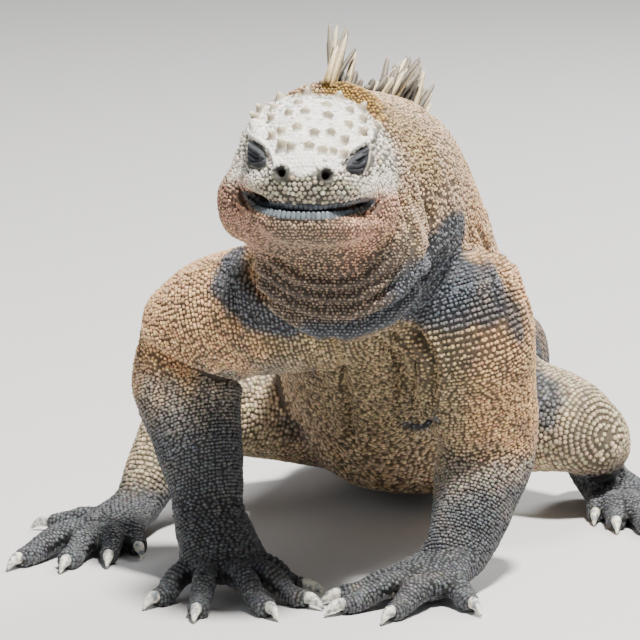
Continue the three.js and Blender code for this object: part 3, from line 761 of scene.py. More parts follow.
def make_skin():
    mesh = remeshed(*joined(skin_forms()))
    points = read(mesh.vertices, "co", 3)
    x, y, _ = to_head(points).T
    face = 1 - ease(-6, 8, y - np.maximum(0, np.abs(x) - 14))
    weights = 0.6 * (1 - 0.94 * digit_nearness(points)) * (1 - 0.6 * face * (np.abs(x) < HEAD_HALF))
    relaxed(mesh, weights, RELAX_ROUNDS)
    refined(mesh, lambda head: (from_middle(head, (0, 2, -12)) < 44) & (head[:, 1] < 30))
    refined(mesh, lambda head: (head[:, 1] < 2) & (from_middle(head, (0, 0, -10)) < 34))
    points = relaxed(mesh, np.full(len(mesh.vertices), 0.3), 2)
    tree = tree_of(points, mesh)
    normals = read(mesh.vertex_normals, "vector", 3)
    for pixels, half_width, depth, lip in FOLDS:
        points = crease(points, normals, on_skin(tree, pixels), half_width, depth, lip)
    points = carve_face(points, normals, tree)
    points = roughen(points, normals)
    points[:, 2] = np.maximum(points[:, 2], FLOOR_CLEARANCE)
    set_points(mesh, points)
    return mesh


def mouth_offset(places):
    """How far below the line between the lips each place lies, and how full the lips are there."""
    line = smooth_path(MOUTH_LINE)
    drop = places[:, 1] - np.interp(places[:, 0], line[:, 0], line[:, 1])
    half = (line[-1, 0] - line[0, 0]) / 2
    across = (places[:, 0] - line[0, 0] - half) / half
    return drop, np.sqrt(np.clip(1 - across**8, 0, 1))


def carve_face(points, normals, tree):
    places = photo_place(points)
    drop, full = mouth_offset(places)
    near = curve_distance(points, on_skin(tree, MOUTH_LINE)) < 9
    down = drop * MM_PER_PIXEL
    push = -MOUTH_DEPTH * full**6 * bell(down, 0.5)
    push += UPPER_LIP_RISE * bell(down + 2.0, 1.1) + LOWER_LIP_RISE * bell(down - 1.9, 1.3)
    points = points + normals * (push * full * near)[:, None]
    face = (to_head(points)[:, 1] < HEAD_BACK) & (np.abs(to_head(points)[:, 0]) < HEAD_HALF)
    view = np.where(face[:, None], places * MM_PER_PIXEL, 1e6)

    def cut(pixels, half_width, depth, lip):
        nonlocal points
        points = crease(points, normals, smooth_path(pixels) * MM_PER_PIXEL, half_width, depth, lip, view)

    for fold in FACE_FOLDS:
        cut(*fold)
    for outline, slit in zip(LID_OUTLINES, EYE_SLITS):
        anchor = on_skin(tree, slit).mean(0)
        near = face & (np.linalg.norm(points - anchor, axis=1) < 13)
        inside = inside_outline(places[near], outline)
        push = 1.0 * ease(0.5, 5, inside) - 0.8 * bell(inside, 1.6)
        points[near] += normals[near] * push[:, None]
        cut(slit, 0.45, 1.0, 0.35)
    for pixels in LID_WRINKLES:
        cut(pixels, 0.34, 0.55, 0.35)
    for u, v in NOSTRILS:
        centre = np.array(seen(tree, u, v)[0])
        far = np.linalg.norm((points - centre) * np.array([1, 0.6, 0.95]), axis=1)
        push = 1.5 * bell(far - NOSTRIL_RING, 0.9)
        push -= NOSTRIL_DEPTH * (1 - ease(NOSTRIL_RADIUS * 0.6, NOSTRIL_RADIUS * 1.2, far))
        points = points + normals * push[:, None]
    return points


def fbm(points, size, shift=(0, 0, 0)):
    return np.array([noise.noise(Vector(p / size + np.array(shift))) for p in points])


def roughen(points, normals):
    """Low soft lumps over the muscles, so that no form is a perfect tube."""
    return points + normals * (0.9 * fbm(points, 23) + 0.3 * fbm(points, 7, (9, 3, 5)))[:, None]


# Markings, and a painted shade in the crease under the arm. A band is a path of pixels of the photograph,
# each with its radius in millimetres.
BANDS = {
    "collar": [(238, 246, 4), (231, 264, 6), (230, 284, 8), (246, 306, 7), (268, 320, 6), (300, 329, 5),
               (345, 333, 5), (380, 323, 6.5), (404, 303, 13), (430, 278, 21), (448, 254, 17), (460, 234, 8)],
    "shoulder": [(424, 300, 12), (450, 294, 15), (470, 284, 12), (486, 306, 8)],
    "flank": [(492, 266, 3), (500, 288, 5), (510, 312, 5.5), (520, 336, 3.5)],
    "side": [(540, 376, 4), (547, 396, 7), (546, 420, 5)],
    "nape": [(268, 97, 4), (296, 86, 7), (335, 82, 10), (362, 97, 8), (376, 116, 4)],
    # under the arm, along the crease there: a painted shade
    "armpit_shade": [(404, 421, 1.5), (420, 423, 3), (438, 418, 2)],
    "scruff": [(378, 108, 8), (400, 122, 12), (420, 146, 12), (432, 172, 7)],
}
SHADES = {name: colour(text) for name, text in {
    "gold": "b8945f", "orange": "d6ab7e", "tan": "c0a68a", "slate": "555b64", "charcoal": "4e5155",
    "ash": "8b8175", "olive": "a28f6e", "belly": "958870", "throat": "6e5f55", "crust": "fdfbf5",
    "grey": "d8d4c8", "jowl": "bd9278", "chin": "857661", "nape": "a07d3e", "snout": "a09987",
    "upper lip": "363c44", "lower lip": "667077", "lid": "33363d", "rim": "d9cdb4", "cream": "b6a78b",
    "tail": "75675a", "dark": "2b2824", "ring": "403d39", "gap": "0d0b0a", "nostril_shade": "2a120a",
    "lath foot": "3f3b36", "lath tip": "948c7e", "pale lath foot": "b09a6e", "pale lath tip": "e6d7b4",
    "cone foot": "8a8274", "cone side": "b3a891", "cone tip": "d8cdb2",
    "claw root": "6f777c", "claw tip": "e2ddcb",
}.items()}
# Slate bands; the one under the arm is a painted shade in the crease there.
SLATE_MARKS_AND_SHADE = (("collar", 0.95), ("shoulder", 0.85), ("flank", 0.8), ("side", 0.85), ("armpit_shade", 0.95))


def lay(made, shade, weight):
    """Puts a colour over the colours made so far, in place."""
    made[:] = mix(made, SHADES[shade] if isinstance(shade, str) else shade, weight)


class MarkingsAndShade:
    """Colours of the skin by place, with some painted shade and a painted highlight, so that skin and scales
    carry the same ones.
    """

    def __init__(self, tree):
        self.bands = {}
        for name, spots in BANDS.items():
            found = [(seen(tree, u, v)[0], radius) for u, v, radius in smooth_path(spots, 3)]
            self.bands[name] = np.array([(*hit, radius) for hit, radius in found if hit is not None])
        self.eyes = [on_skin(tree, path).mean(0) for path in EYE_SLITS]
        self.mouth = on_skin(tree, [(u, v - 4) for u, v in MOUTH_LINE])

    def band(self, name, points, soft=2.5):
        """1 inside a band whose radius changes along its path, 0 outside it."""
        spots = self.bands[name]
        best = np.full(len(points), -1e9)
        for start, end in zip(spots[:-1], spots[1:]):
            leg = end[:3] - start[:3]
            t = np.clip((points - start[:3]) @ leg / max(leg @ leg, 1e-9), 0, 1)
            radius = start[3] + (end[3] - start[3]) * t
            best = np.maximum(best, radius - np.linalg.norm(points - start[:3] - t[:, None] * leg, axis=1))
        return ease(-soft, soft, best)

    def paint(self, points):
        x, y, z = points.T
        broad, mid, fine = (fbm(points, size, (shift, shift * 2.3, -shift))
                            for size, shift in ((26, 1), (9, 4), (3.2, 7)))
        wobble = 6 * broad + 3 * mid
        made = np.tile(SHADES["tan"], (len(points), 1))

        # trunk: tan above, paler and olive below, slate blotches on back and flanks
        low = 1 - ease(-14, 26, z - (58 - 0.55 * (y + 80)) + wobble)
        lay(made, "gold", 0.5 * ease(-0.15, 0.45, mid))
        lay(made, "belly", low * ease(-60, 20, y))
        lay(made, "olive", low * (1 - ease(-120, -30, y)))
        lay(made, "slate", 0.8 * ease(0.08, 0.34, broad + 0.5 * mid) * ease(-130, -60, y) * (1 - low))
        speckle = ease(0.16, 0.5, fine + 0.5 * mid)
        lay(made, "dark", 0.5 * speckle)

        # tail and hind legs
        rings = ease(0.1, 0.5, np.sin(y / 15 + 2 * broad))
        lay(made, mix(SHADES["tail"], SHADES["charcoal"], rings), ease(60, 130, y))
        leg = ease(52, 64, np.abs(x)) * ease(-120, -90, y) * (1 - ease(30, 60, y)) * (1 - ease(78, 92, z))
        lay(made, "cream", leg * 0.85 * ease(12, 26, z))

        # arms: orange shoulders, ashen forearms, charcoal hands
        front = 1 - ease(-128, -108, y)
        shoulder = ease(34, 50, np.abs(x + 18)) * front * ease(30, 50, z)
        lay(made, mix(SHADES["orange"], SHADES["dark"], 0.3 * speckle), 0.75 * shoulder)
        reach = np.where(x < -40, ease(50, 104, 150 - z + 0.25 * (x + 120)), ease(78, 124, 150 - z))
        reach = np.clip(reach + 0.25 * mid, 0, 1)
        lay(made, "ash", front * ease(20, 40, np.abs(x + 20)) * ease(0.0, 0.5, reach))
        lay(made, "charcoal", front * ease(0.35, 1.0, reach))
        lay(made, "charcoal", (1 - ease(16, 30, z + 3 * mid)) * ease(62, 74, np.abs(x)))

        # throat, collar and nape
        throat = 1 - ease(26, 40, from_middle(points, (-34, -238, 146), (0.85, 1, 1)))
        lay(made, "throat", 0.85 * throat * (1 - ease(150, 166, z + wobble)))
        ragged = points + 2.0 * np.stack([mid, fine, broad], 1)
        # slate bands; the one under the arm is a painted shade in the crease
        for name, strength in SLATE_MARKS_AND_SHADE:
            lay(made, "slate", strength * self.band(name, ragged))
        lay(made, mix(SHADES["olive"], SHADES["nape"], 0.4), 0.85 * self.band("scruff", ragged, 5))
        lay(made, "nape", 0.9 * self.band("nape", points))
        head = to_head(points)
        near = from_middle(head, FACE_MIDDLE) < 50
        made[near] = self.paint_head(made[near], points[near], head[near], mid[near], fine[near])
        return made

    def paint_head(self, made, points, head, mid, fine):
        hx, hy, hz = head.T
        places = photo_place(points)

        on_head = 1 - ease(34, 44, from_middle(head, (0, 8, -12), (1, 0.85, 1)) + 4 * mid)
        chin = 1 - ease(8, 24, np.abs(hx) + 4 * mid)
        jowls = on_head * (1 - ease(-20, -8, hz + 4 * mid))
        lay(made, mix(SHADES["jowl"], SHADES["chin"], 0.8 * chin), jowls)
        # The jowl on the -x side of the head is darkened here by a painted shade.
        lay(made, 0.72 * made, jowls * ease(6, 20, -hx))
        lay(made, "nape", on_head * ease(22, 34, hy + 3 * mid) * ease(0, 8, hz))
        lay(made, "grey", 0.9 * (on_head * ease(-20, -9, hz + 4 * mid) * (1 - ease(16, 30, hy + 4 * mid))))
        front = 1 - ease(24, 30, hy)
        snout = ease(-2, 1, inside_outline(places, SNOUT_OUTLINE))
        lay(made, "snout", front * (1 - ease(-2, 4, hy)) * snout)
        crown = front * on_head * ease(-2.5, 2.5, inside_outline(places, CROWN_OUTLINE) + 2 * fine)
        lay(made, "crust", crown * (0.95 - 0.2 * ease(0.1, 0.6, fine)))
        for outline, anchor in zip(LID_OUTLINES, self.eyes):
            near = (np.linalg.norm(points - anchor, axis=1) < EYE_REACH) * (hy < OPENINGS_BACK)
            inside = inside_outline(places, outline)
            # A pale line round each lid: a painted highlight on the lid's edge.
            lay(made, "rim", 0.7 * bell(inside + 1.6, 0.9) * near)
            lay(made, "lid", ease(-0.9, 0.5, inside) * near)
        for spot in NOSTRILS:
            far = np.linalg.norm((places - np.array(spot)) * MM_PER_PIXEL, axis=1)
            lay(made, "ring", 0.85 * (1 - ease(2.6, 4.2, far + fine)) * (hy < -8))
            # The nostril openings are painted near black: painted shade inside them.
            lay(made, "nostril_shade", (1 - ease(1.1, 2.0, far)) * (hy < -4))
        drop, full = mouth_offset(places)
        near = (curve_distance(points, self.mouth) < MOUTH_REACH) * (full > LIPS_START)
        lay(made, "upper lip", ease(-1.2, 0.0, UPPER_LIP * full + drop) * (drop < 0) * near)
        lay(made, "lower lip", ease(-1.2, 0.0, LOWER_LIP * full - drop) * (drop >= 0) * near)
        # The line between the lips is painted near black: painted shade in the crease between them.
        lay(made, "gap", (1 - ease(0.5, 1.3, np.abs(drop))) * near * full**3)
        return made


def bare_skin_painted_shade(points):
    """How bright the bare skin is: darkened between the scales by a painted shade, but plain on the lids and
    lips.
    """
    head = to_head(points)
    painted_shading = np.full(len(points), BARE_SKIN_SHADE)
    face = (head[:, 1] < HEAD_BACK) & (from_middle(head, FACE_MIDDLE) < 46)
    places = photo_place(points[face])
    ahead = head[face, 1] < OPENINGS_BACK
    drop, full = mouth_offset(places)
    bare = (full > LIPS_START) * (drop > -UPPER_LIP * full - 1) * (drop < LOWER_LIP * full + 1) * ahead
    for outline in LID_OUTLINES:
        bare = np.maximum(bare, ease(-2.5, -1, inside_outline(places, outline)) * ahead)
    crown = ease(-1, 2, inside_outline(places, CROWN_OUTLINE))
    snout = ease(-1, 2, inside_outline(places, SNOUT_OUTLINE))
    painted_shading[face] = np.maximum(painted_shading[face] * (1 - 0.5 * snout), np.maximum(0.85 * bare, 0.8 * crown))
    return painted_shading


# Scales, on staggered rings along each form or on a staggered grid in the camera's view

def ring_rays(rows, start, end, pitch, up=UP, square=2.0, caps=(0.0, 0.0)):
    """Rays towards the surface of a tube: aim, direction, forward direction and place (u, v)."""
    parts = []
    pitch = pitch * SCALE_PITCH
    fine = np.linspace(start, end, 200)
    lengths = lengths_along(sample(rows, fine)[:, :3])
    rings = max(2, int(lengths[-1] / (pitch * ROW_SPACING)))
    us = np.interp(np.linspace(0, lengths[-1], rings), lengths, fine)
    s = sections(rows, us, up)
    turns = [(k, 0.0) for k in range(rings)]
    for index, dome, sign in ((0, caps[0], -1), (rings - 1, caps[1], 1)):
        if dome:
            steps = int(dome * 1.4 / pitch)
            turns += [(index, sign * 1.35 * (k + 1) / steps) for k in range(steps)]
    for row, (k, tilt) in enumerate(turns):
        section = {name: value[k:k + 1] for name, value in s.items()}
        wide, above, below = (section[name][0] for name in ("wide", "above", "below"))
        round_size = 2 * math.pi * (wide + (above + below) / 2) / 2
        count = max(5, int(round_size * math.cos(tilt) / pitch))
        angles = (np.arange(count) + 0.5 * (row % 2)) * 2 * math.pi / count
        angles = angles + 0.02 * rng.standard_normal(count)
        edge = rim(section, angles, square)[0] - section["centre"][0]
        along = section["along"][0]
        dome = caps[0] if tilt < 0 else caps[1]
        aim = section["centre"][0] + edge * math.cos(tilt) + along * dome * math.sin(tilt)
        out = unit(unit(edge) * math.cos(tilt) + along * math.sin(tilt))
        share = (us[k] + 0.2 * tilt) / (len(rows) - 1)
        place = np.stack([np.full(count, share), angles / (2 * math.pi)], 1)
        aim = aim + along * pitch * 0.1 * rng.standard_normal((count, 1))
        parts.append((aim, -out, np.tile(along, (count, 1)), place))
    return [np.vstack(part) for part in zip(*parts)]


def outline_rays(tree, outline, pitch):
    """Rays along the camera's view on a staggered grid inside an outline of pixels."""
    step = pitch * SCALE_PITCH / MM_PER_PIXEL
    low, high = np.min(outline, 0), np.max(outline, 0)
    grid = [(u, v) for row, v in enumerate(np.arange(low[1], high[1], step * ROW_SPACING))
            for u in np.arange(low[0], high[0], step) + step / 2 * (row % 2)]
    grid = np.array(grid) + 0.14 * step * rng.standard_normal((len(grid), 2))
    grid = grid[inside_outline(grid, outline) > 0]
    parts = []
    for u, v in grid:
        hit, _, direction = seen(tree, u, v)
        if hit is not None:
            parts.append((np.array(hit), direction, ABOVE, (np.array([u, v]) - low) / (high - low)))
    return [np.array(part) for part in zip(*parts)]


class Scales:
    """Gathers scales over the whole skin, without two in one place."""

    def __init__(self, tree):
        self.tree = tree
        self.groups = {}
        self.taken = []
        self.tile = 0

    def taken_tree(self):
        spots = KDTree(max(1, len(self.taken)))
        for index, spot in enumerate(self.taken):
            spots.insert(spot, index)
        spots.balance()
        return spots

    def add(self, group, rays, pitch, height, tolerance=4.5, wide=1.0, keep=None, gap=0.13):
        """A scale where each ray meets free skin. The gap sets the painted shade at the scale's sunk rim: 0
        is black and 1 isn't darkened.
        """
        pitch = pitch * SCALE_PITCH
        spots = self.taken_tree() if self.taken else None
        rows = []
        for aim, direction, forward, place in zip(*rays):
            start = Vector(aim - direction * RAY_LIFT)
            hit, normal, _, _ = self.tree.ray_cast(start, Vector(direction), 2.2 * RAY_LIFT)
            if hit is None or normal.dot(Vector(direction)) > -0.2:
                continue
            if (hit - Vector(aim)).length > tolerance or hit.z < SCALE_FLOOR:
                continue
            if spots and spots.find(hit)[2] < pitch * CROWDING:
                continue
            if keep and not keep(hit):
                continue
            rows.append((*hit, *normal, *forward, *place))
        if not rows:
            return
        found = np.array(rows)
        self.taken.extend(Vector(p) for p in found[:, :3])
        size = np.tile([pitch * SCALE_FILL, pitch * SCALE_FILL * wide, height], (len(found), 1))
        size = size * (1 + SCALE_SPREAD * rng.standard_normal((len(found), 1)))
        marks = np.tile([self.tile, gap], (len(found), 1))
        self.groups.setdefault(group, []).append(np.hstack([found, size, marks]))


def scale_mesh(name, batches, markings_and_shade):
    """Low pointed domes: a sunk rim darkened by a painted shade, a shoulder and a tip leaning back, lightened
    by a painted highlight.
    """
    rows = np.vstack(batches)
    root, normal, forward, places, size, tiles, gaps = np.split(rows, (3, 6, 9, 11, 14, 15), axis=1)
    normal = unit(normal)
    along = unit(forward - normal * np.sum(forward * normal, 1, keepdims=True))
    side = np.cross(normal, along)
    angles = np.arange(SCALE_SIDES) * 2 * math.pi / SCALE_SIDES + math.pi / 2
    count = len(root)
    half, wide, high = size[:, 0:1], size[:, 1:2], size[:, 2:3]
    rings = []
    for spread, lift in ((1.0, -RIM_SINK), (SHOULDER[0], high * SHOULDER[1])):
        for angle in angles:
            point = root + along * half * spread * math.sin(angle) + side * wide * spread * math.cos(angle)
            rings.append(point + normal * lift)
    tip = root + normal * high + along * half * TIP_LEAN
    points = np.stack(rings + [tip], 1)
    one = []
    for k in range(SCALE_SIDES):
        m = (k + 1) % SCALE_SIDES
        one += [(k, m, SCALE_SIDES + m), (k, SCALE_SIDES + m, SCALE_SIDES + k)]
        one.append((SCALE_SIDES + k, SCALE_SIDES + m, 2 * SCALE_SIDES))
    first = np.arange(count) * (2 * SCALE_SIDES + 1)
    triangles = (np.array(one)[None] + first[:, None, None]).reshape(-1, 3)
    base = markings_and_shade.paint(root)
    tone = np.exp(TONE_SPREAD * (1 - gaps) * rng.standard_normal((count, 1)))
    warm = 1 + HUE_SPREAD * rng.standard_normal((count, 3))
    ones = np.ones((1, SCALE_SIDES))
    # Brightness of rim, shoulder and tip: painted shade at the sunk rim and a painted highlight on the tip.
    painted_shading = np.hstack([gaps * ones, (0.75 + 0.25 * gaps) * ones, 1.6 - 0.55 * gaps])
    shades = (base * tone * warm)[:, None] * painted_shading[:, :, None]
    made = fast_object(name, world(points.reshape(-1, 3)), triangles)
    set_colours(made.data, shades.reshape(-1, 3))
    add_bake_map(made.data, places, tiles[:, 0].astype(int), angles, triangles)
    return made


def fast_object(name, points, triangles):
    mesh = bpy.data.meshes.new(name)
    mesh.vertices.add(len(points))
    mesh.vertices.foreach_set("co", points.ravel())
    mesh.loops.add(triangles.size)
    mesh.loops.foreach_set("vertex_index", triangles.ravel())
    mesh.polygons.add(len(triangles))
    mesh.polygons.foreach_set("loop_start", np.arange(len(triangles)) * 3)
    mesh.update(calc_edges=True)
    mesh.shade_smooth()
    return linked(name, mesh)


def add_bake_map(mesh, places, tiles, angles, triangles):
    """Each scale is a small patch at its root's place on an unwrap of the forms, a tile each."""
    corner = np.stack([tiles % BAKE_TILES, tiles // BAKE_TILES], 1)
    inside = np.stack([np.clip(places[:, 0], 0, 1), places[:, 1] % 1], 1) * 0.94 + 0.03
    root = (corner + inside) / BAKE_TILES
    ring = np.stack([np.sin(angles), np.cos(angles)], 1)
    shape = np.vstack([ring, ring * 0.7, [[0, 0]]]) * BAKE_PATCH
    corners = (root[:, None] + shape[None]).reshape(-1, 2)
    mesh.uv_layers.new(name="OFBake").data.foreach_set("uv", corners[triangles.ravel()].ravel())


def ball_rows(at, radii, axis):
    """Rows of a ball along an axis, 1 for y and 2 for z."""
    rows = []
    for k in np.linspace(-1, 1, 9):
        r = math.sqrt(1 - (k * 0.97) ** 2)
        centre = list(at)
        centre[axis] += k * radii[axis] * 0.97
        rows.append((*centre, radii[0] * r, radii[3 - axis] * r, radii[3 - axis] * r))
    return rows


def place_scales(tree, markings_and_shade):
    scales = Scales(tree)

    def off_openings(hit):
        """Whether a place is off the lips, the lids and the nostrils."""
        spot = np.array([hit])
        if to_head(spot)[0, 1] > OPENINGS_BACK:
            return True
        place = photo_place(spot)
        drop, full = mouth_offset(place)
        near_mouth = full[0] > LIPS_START and curve_distance(spot, markings_and_shade.mouth)[0] < MOUTH_REACH
        if near_mouth and -UPPER_LIP * full[0] - 0.5 < drop[0] < LOWER_LIP * full[0] + 0.5:
            return False
        for outline, anchor in zip(LID_OUTLINES, markings_and_shade.eyes):
            if np.linalg.norm(spot[0] - anchor) < EYE_REACH and inside_outline(place, outline)[0] > -1.8:
                return False
        far = min(np.hypot(place[0, 0] - u, place[0, 1] - v) for u, v in NOSTRILS)
        return far * MM_PER_PIXEL > NOSTRIL_RADIUS + 0.9

    def cover(group, rows, end, pitch, height, start=0, up=UP, caps=(0, 0), **more):
        scales.add(group, ring_rays(rows, start, end, pitch, up, caps=caps), pitch, height, **more)
        scales.tile += 1

    def cover_head(rows, end, pitch, height, square, caps, tolerance=4):
        aims, directions, forwards, places = ring_rays(rows, 0, end, pitch, UP, square, caps)
        rays = (from_head(aims), directions @ HEAD_TURN.T, forwards @ HEAD_TURN.T, places)
        scales.add("head", rays, pitch, height, tolerance, keep=off_openings)
        scales.tile += 1

    def cover_outline(outline, pitch, height, keep=off_openings, **more):
        scales.add("head", outline_rays(tree, outline, pitch), pitch, height, keep=keep, **more)
        scales.tile += 1

    cover_outline(SNOUT_OUTLINE, 2.25, 0.65, wide=1.05, gap=0.08)
    cover_outline(CHIN_OUTLINE, 1.4, 0.5)
    cover_outline(CROWN_OUTLINE, 1.9, 0.3, gap=0.8)
    for outline in TEMPLE_OUTLINES:
        cover_outline(outline, 2.4, 1.0, gap=0.35)
    cover_outline(NAPE_OUTLINE, 1.45, 1.3, None, gap=0.1)
    cover_head(with_x(SKULL), 6.6, 1.9, 0.7, SKULL_SQUARE, (2.5, 0))
    cover_head(with_x(MUZZLE), 4, 1.7, 0.6, JAW_SQUARE, (2, 4), 3.5)
    cover_head(with_x(JAW), 5, 1.45, 0.55, JAW_SQUARE, (2.5, 0))
    for side in (-1, 1):
        cover_head(ball_rows(flip(JOWL_AT, side), JOWL_RADII, 1), 8, 1.4, 0.6, 2, (0, 0))
    cover("neck", ball_rows(THROAT_AT, THROAT_RADII, 2), 8, 1.35, 0.55, up=FORWARD, tolerance=6)
    cover("neck", TRUNK, NECK_SCALES_END, 1.5, 0.65, tolerance=7)
    for name, (rows, start_dome, end_dome, up) in LIMBS.items():
        arm = "arm_" + name.split("_")[-1]
        group, pitch, height = (arm, 1.6, 0.9) if "arm" in name else ("legs", 2.3, 0.8)
        caps = (start_dome, end_dome)
        cover(group, rows, 3, pitch, height, up=up, caps=caps, tolerance=5.5, wide=1.15, gap=0.24)
    for name, (palm, digits) in PAWS.items():
        group = "hands" if "hand" in name else "feet"
        cover(group, palm, 3, 1.8, 0.6, caps=PALM_DOMES, tolerance=3.5, wide=1.2)
        for digit in digits:
            rays = ring_rays(digit_rows(palm, digit), 0.3, 3, DIGIT_PITCH, caps=(0, 3))
            scales.add(group, rays, DIGIT_PITCH, 0.6, tolerance=2.5, wide=1.3)
        scales.tile += 1
    cover("trunk_front", TRUNK, TRUNK_SCALES_MIDDLE, 1.75, 0.65, NECK_SCALES_END, tolerance=7)
    cover("trunk_rear", TRUNK, TAIL_SCALES_START, 2.2, 0.7, TRUNK_SCALES_MIDDLE, tolerance=7)
    cover("tail", TRUNK, 17.9, 2.8, 0.75, TAIL_SCALES_START, tolerance=4, wide=0.85)
    return scales


# Crest spines and the cones on the crown, at the places where the solids have them

class Draws:
    """The same seeded draws as the solids' spines."""

    def __init__(self):
        self.seed = SPINE_SEED

    def spread(self, amount):
        self.seed = (self.seed * 1664525 + 1013904223) % 4294967296
        return (self.seed / 4294967296 * 2 - 1) * amount


def crest_spines(draws):
    """Root, direction, sideways direction and sizes of every spine."""
    found = []
    u = CREST_HEIGHTS[0][0]
    while u < len(TRUNK) - CREST_TAIL_GAP:
        s = section_at(TRUNK, u)
        height = float(np.interp(u, *zip(*CREST_HEIGHTS))) * (1 + draws.spread(CREST_HEIGHT_SPREAD))
        size = min(1, 0.4 + height / 16)
        lean = math.radians(CREST_LEAN + draws.spread(CREST_LEAN_SPREAD))
        sway = math.radians(draws.spread(CREST_SWAY))
        aim = s["rise"] * math.cos(lean) + s["along"] * math.sin(lean) + s["side"] * math.sin(sway)
        root = s["centre"] + s["rise"] * (s["above"] - 0.4)
        found.append((root, unit(aim), s["side"], height, CREST_LENGTH * size, CREST_THICK * size))
        pace = CREST_NAPE_SPACING if u < NAPE_END else CREST_SPACING
        pace = CREST_TAIL_SPACING if u > TORSO_END else pace
        u += pace / (np.linalg.norm(section_at(TRUNK, u + 0.1)["centre"] - s["centre"]) / 0.1)
    return found


def lath(root, direction, across, height, length, thick, bend, profile=SPINE_PROFILE):
    """A flat tapered spine with keels, bending back towards its tip."""
    ahead = np.cross(direction, across)
    points = []
    for k, width in profile:
        centre = root + direction * height * k + ahead * bend * max(0, k) ** 2
        for j in range(SPINE_SIDES):
            angle = 2 * math.pi * j / SPINE_SIDES
            ridge = (1 + KEEL_DEPTH * math.cos(angle * KEELS)) * width / 2
            points.append(centre + ahead * math.cos(angle) * length * ridge
                          + across * math.sin(angle) * thick * ridge)
    last = (len(profile) - 1) * SPINE_SIDES
    ends = [tuple(range(SPINE_SIDES))[::-1], tuple(range(last, last + SPINE_SIDES))]
    return np.array(points), quads(len(profile), SPINE_SIDES, turned=True) + ends


def lath_tones_and_groove_shade(low, high):
    """Colours of a lath's points: from low at the root to high at the tip, darker in its grooves by a painted
    shade.
    """
    up = np.clip([k for k, _ in SPINE_PROFILE], 0, 1) ** 0.7
    # painted shade in the grooves between the keels
    groove_shade = 1 - 0.6 * (np.arange(SPINE_SIDES) % 2) * rng.random(SPINE_SIDES)
    ragged = 0.75 + 0.5 * rng.random((len(SPINE_PROFILE), SPINE_SIDES))
    return (mix(low, high, up)[:, None] * (groove_shade[None] * ragged)[:, :, None]).reshape(-1, 3)


def make_crest(draws):
    forms, tones = [], []
    for root, direction, across, height, length, thick in crest_spines(draws):
        tall = height > TALL_SPINE
        parts = 4 if tall else 2
        ahead = np.cross(direction, across)
        for k in range(parts):
            shift = (k - (parts - 1) / 2) * length / parts
            middle = k == parts // 2
            reach = height * (1 if middle else 1 - 0.35 * rng.random())
            fray = 0.16 if height > FRAYED_SPINE and not middle else 0.03
            aim = unit(direction + 0.06 * rng.standard_normal(3) + across * fray * rng.standard_normal())
            foot = root + ahead * shift + across * 0.9 * rng.standard_normal()
            wide = thick * (0.55 + 0.35 * rng.random())
            bend = 0.8 * rng.standard_normal()
            forms.append(lath(foot, aim, across, reach, length / parts * 1.6, wide, bend))
            pale = "pale " if rng.random() < (0.38 if tall else 0.15) else ""
            tone = lath_tones_and_groove_shade(SHADES[pale + "lath foot"], SHADES[pale + "lath tip"])
            tones.append(tone * (1 + 0.15 * rng.standard_normal()))
    return tinted_object("crest_spines", forms, tones)


def crown_cones(draws):
    """Root, direction, sideways direction, height and width of each cone, and how near the edge it is."""
    found = []
    power = 2 / SKULL_SQUARE
    for j in range(CONE_ROWS):
        u = CONES_START + j * CONES_SPAN / (CONE_ROWS - 1)
        reach = CONE_FRONT_REACH + (CONE_BACK_REACH - CONE_FRONT_REACH) * j / (CONE_ROWS - 1)
        for k in range(CONES_PER_ROW):
            across = k / (CONES_PER_ROW - 1) * 2 - 1
            angle = math.pi / 2 - across * reach + draws.spread(0.05) + (0.08 if j % 2 else -0.08)
            cos, sin = math.cos(angle), math.sin(angle)
            s = section_at(with_x(SKULL), u + draws.spread(0.12))
            direction = unit(s["side"] * cos * 0.8 + s["rise"] * sin - s["along"] * 0.25)
            root = s["centre"] + s["side"] * s["wide"] * math.copysign(abs(cos) ** power, cos)
            root = root + s["rise"] * s["above"] * abs(sin) ** power
            edge = max(abs(across) ** 3, 0.8 if j == CONE_ROWS - 1 else 0)
            height = (CONE_HEIGHT + (CONE_EDGE_HEIGHT - CONE_HEIGHT) * edge) * (1 + draws.spread(0.2))
            width = CONE_RADIUS * 2 * (1 + draws.spread(0.12))
            found.append((root, direction, s["side"], height, width, edge))
    return found


def make_cones(tree, draws):
    forms, tones = [], []
    for root, direction, across, height, width, edge in crown_cones(draws):
        aim, side = HEAD_TURN @ direction, HEAD_TURN @ across
        place = np.array(tree.find_nearest(Vector(from_head(root)))[0])
        side = unit(side - aim * (side @ aim))
        forms.append(lath(place, aim, side, height, width, width, 0.0, CONE_PROFILE))
        # The grey-brown sides are partly the cones' own colour and partly painted shade.
        middle = mix(SHADES["cone foot"], SHADES["cone side"], rng.random())
        rows = mix(middle, SHADES["crust"], np.array([1.0 if k <= 0 else 0.0 for k, _ in CONE_PROFILE]))
        rows[-2:] = SHADES["cone tip"] * (0.7 + 0.3 * edge)
        tones.append(np.repeat(rows, SPINE_SIDES, axis=0))
    return tinted_object("crown_cones", forms, tones)


# Plates along the lips

def plate(centre, along, down, normal, wide, tall):
    """A low cushion with a rounded square outline."""
    angles = np.arange(PLATE_SIDES) * 2 * math.pi / PLATE_SIDES
    across, upward = (np.sign(turn) * np.abs(turn) ** (2 / 3.2) * size
                      for turn, size in ((np.cos(angles), wide), (np.sin(angles), tall)))
    rings = [centre + spread * (across[:, None] * along + upward[:, None] * down) + normal * lift
             for spread, lift in ((1.06, -0.4), (0.94, 0.1), (0.6, 0.16))]
    points = np.vstack([*rings, [centre + normal * 0.17]])
    inner = 2 * PLATE_SIDES
    faces = quads(3, PLATE_SIDES, turned=True)
    faces += [(inner + k, inner + (k + 1) % PLATE_SIDES, 3 * PLATE_SIDES) for k in range(PLATE_SIDES)]
    return points, [*faces, tuple(range(PLATE_SIDES))[::-1]]


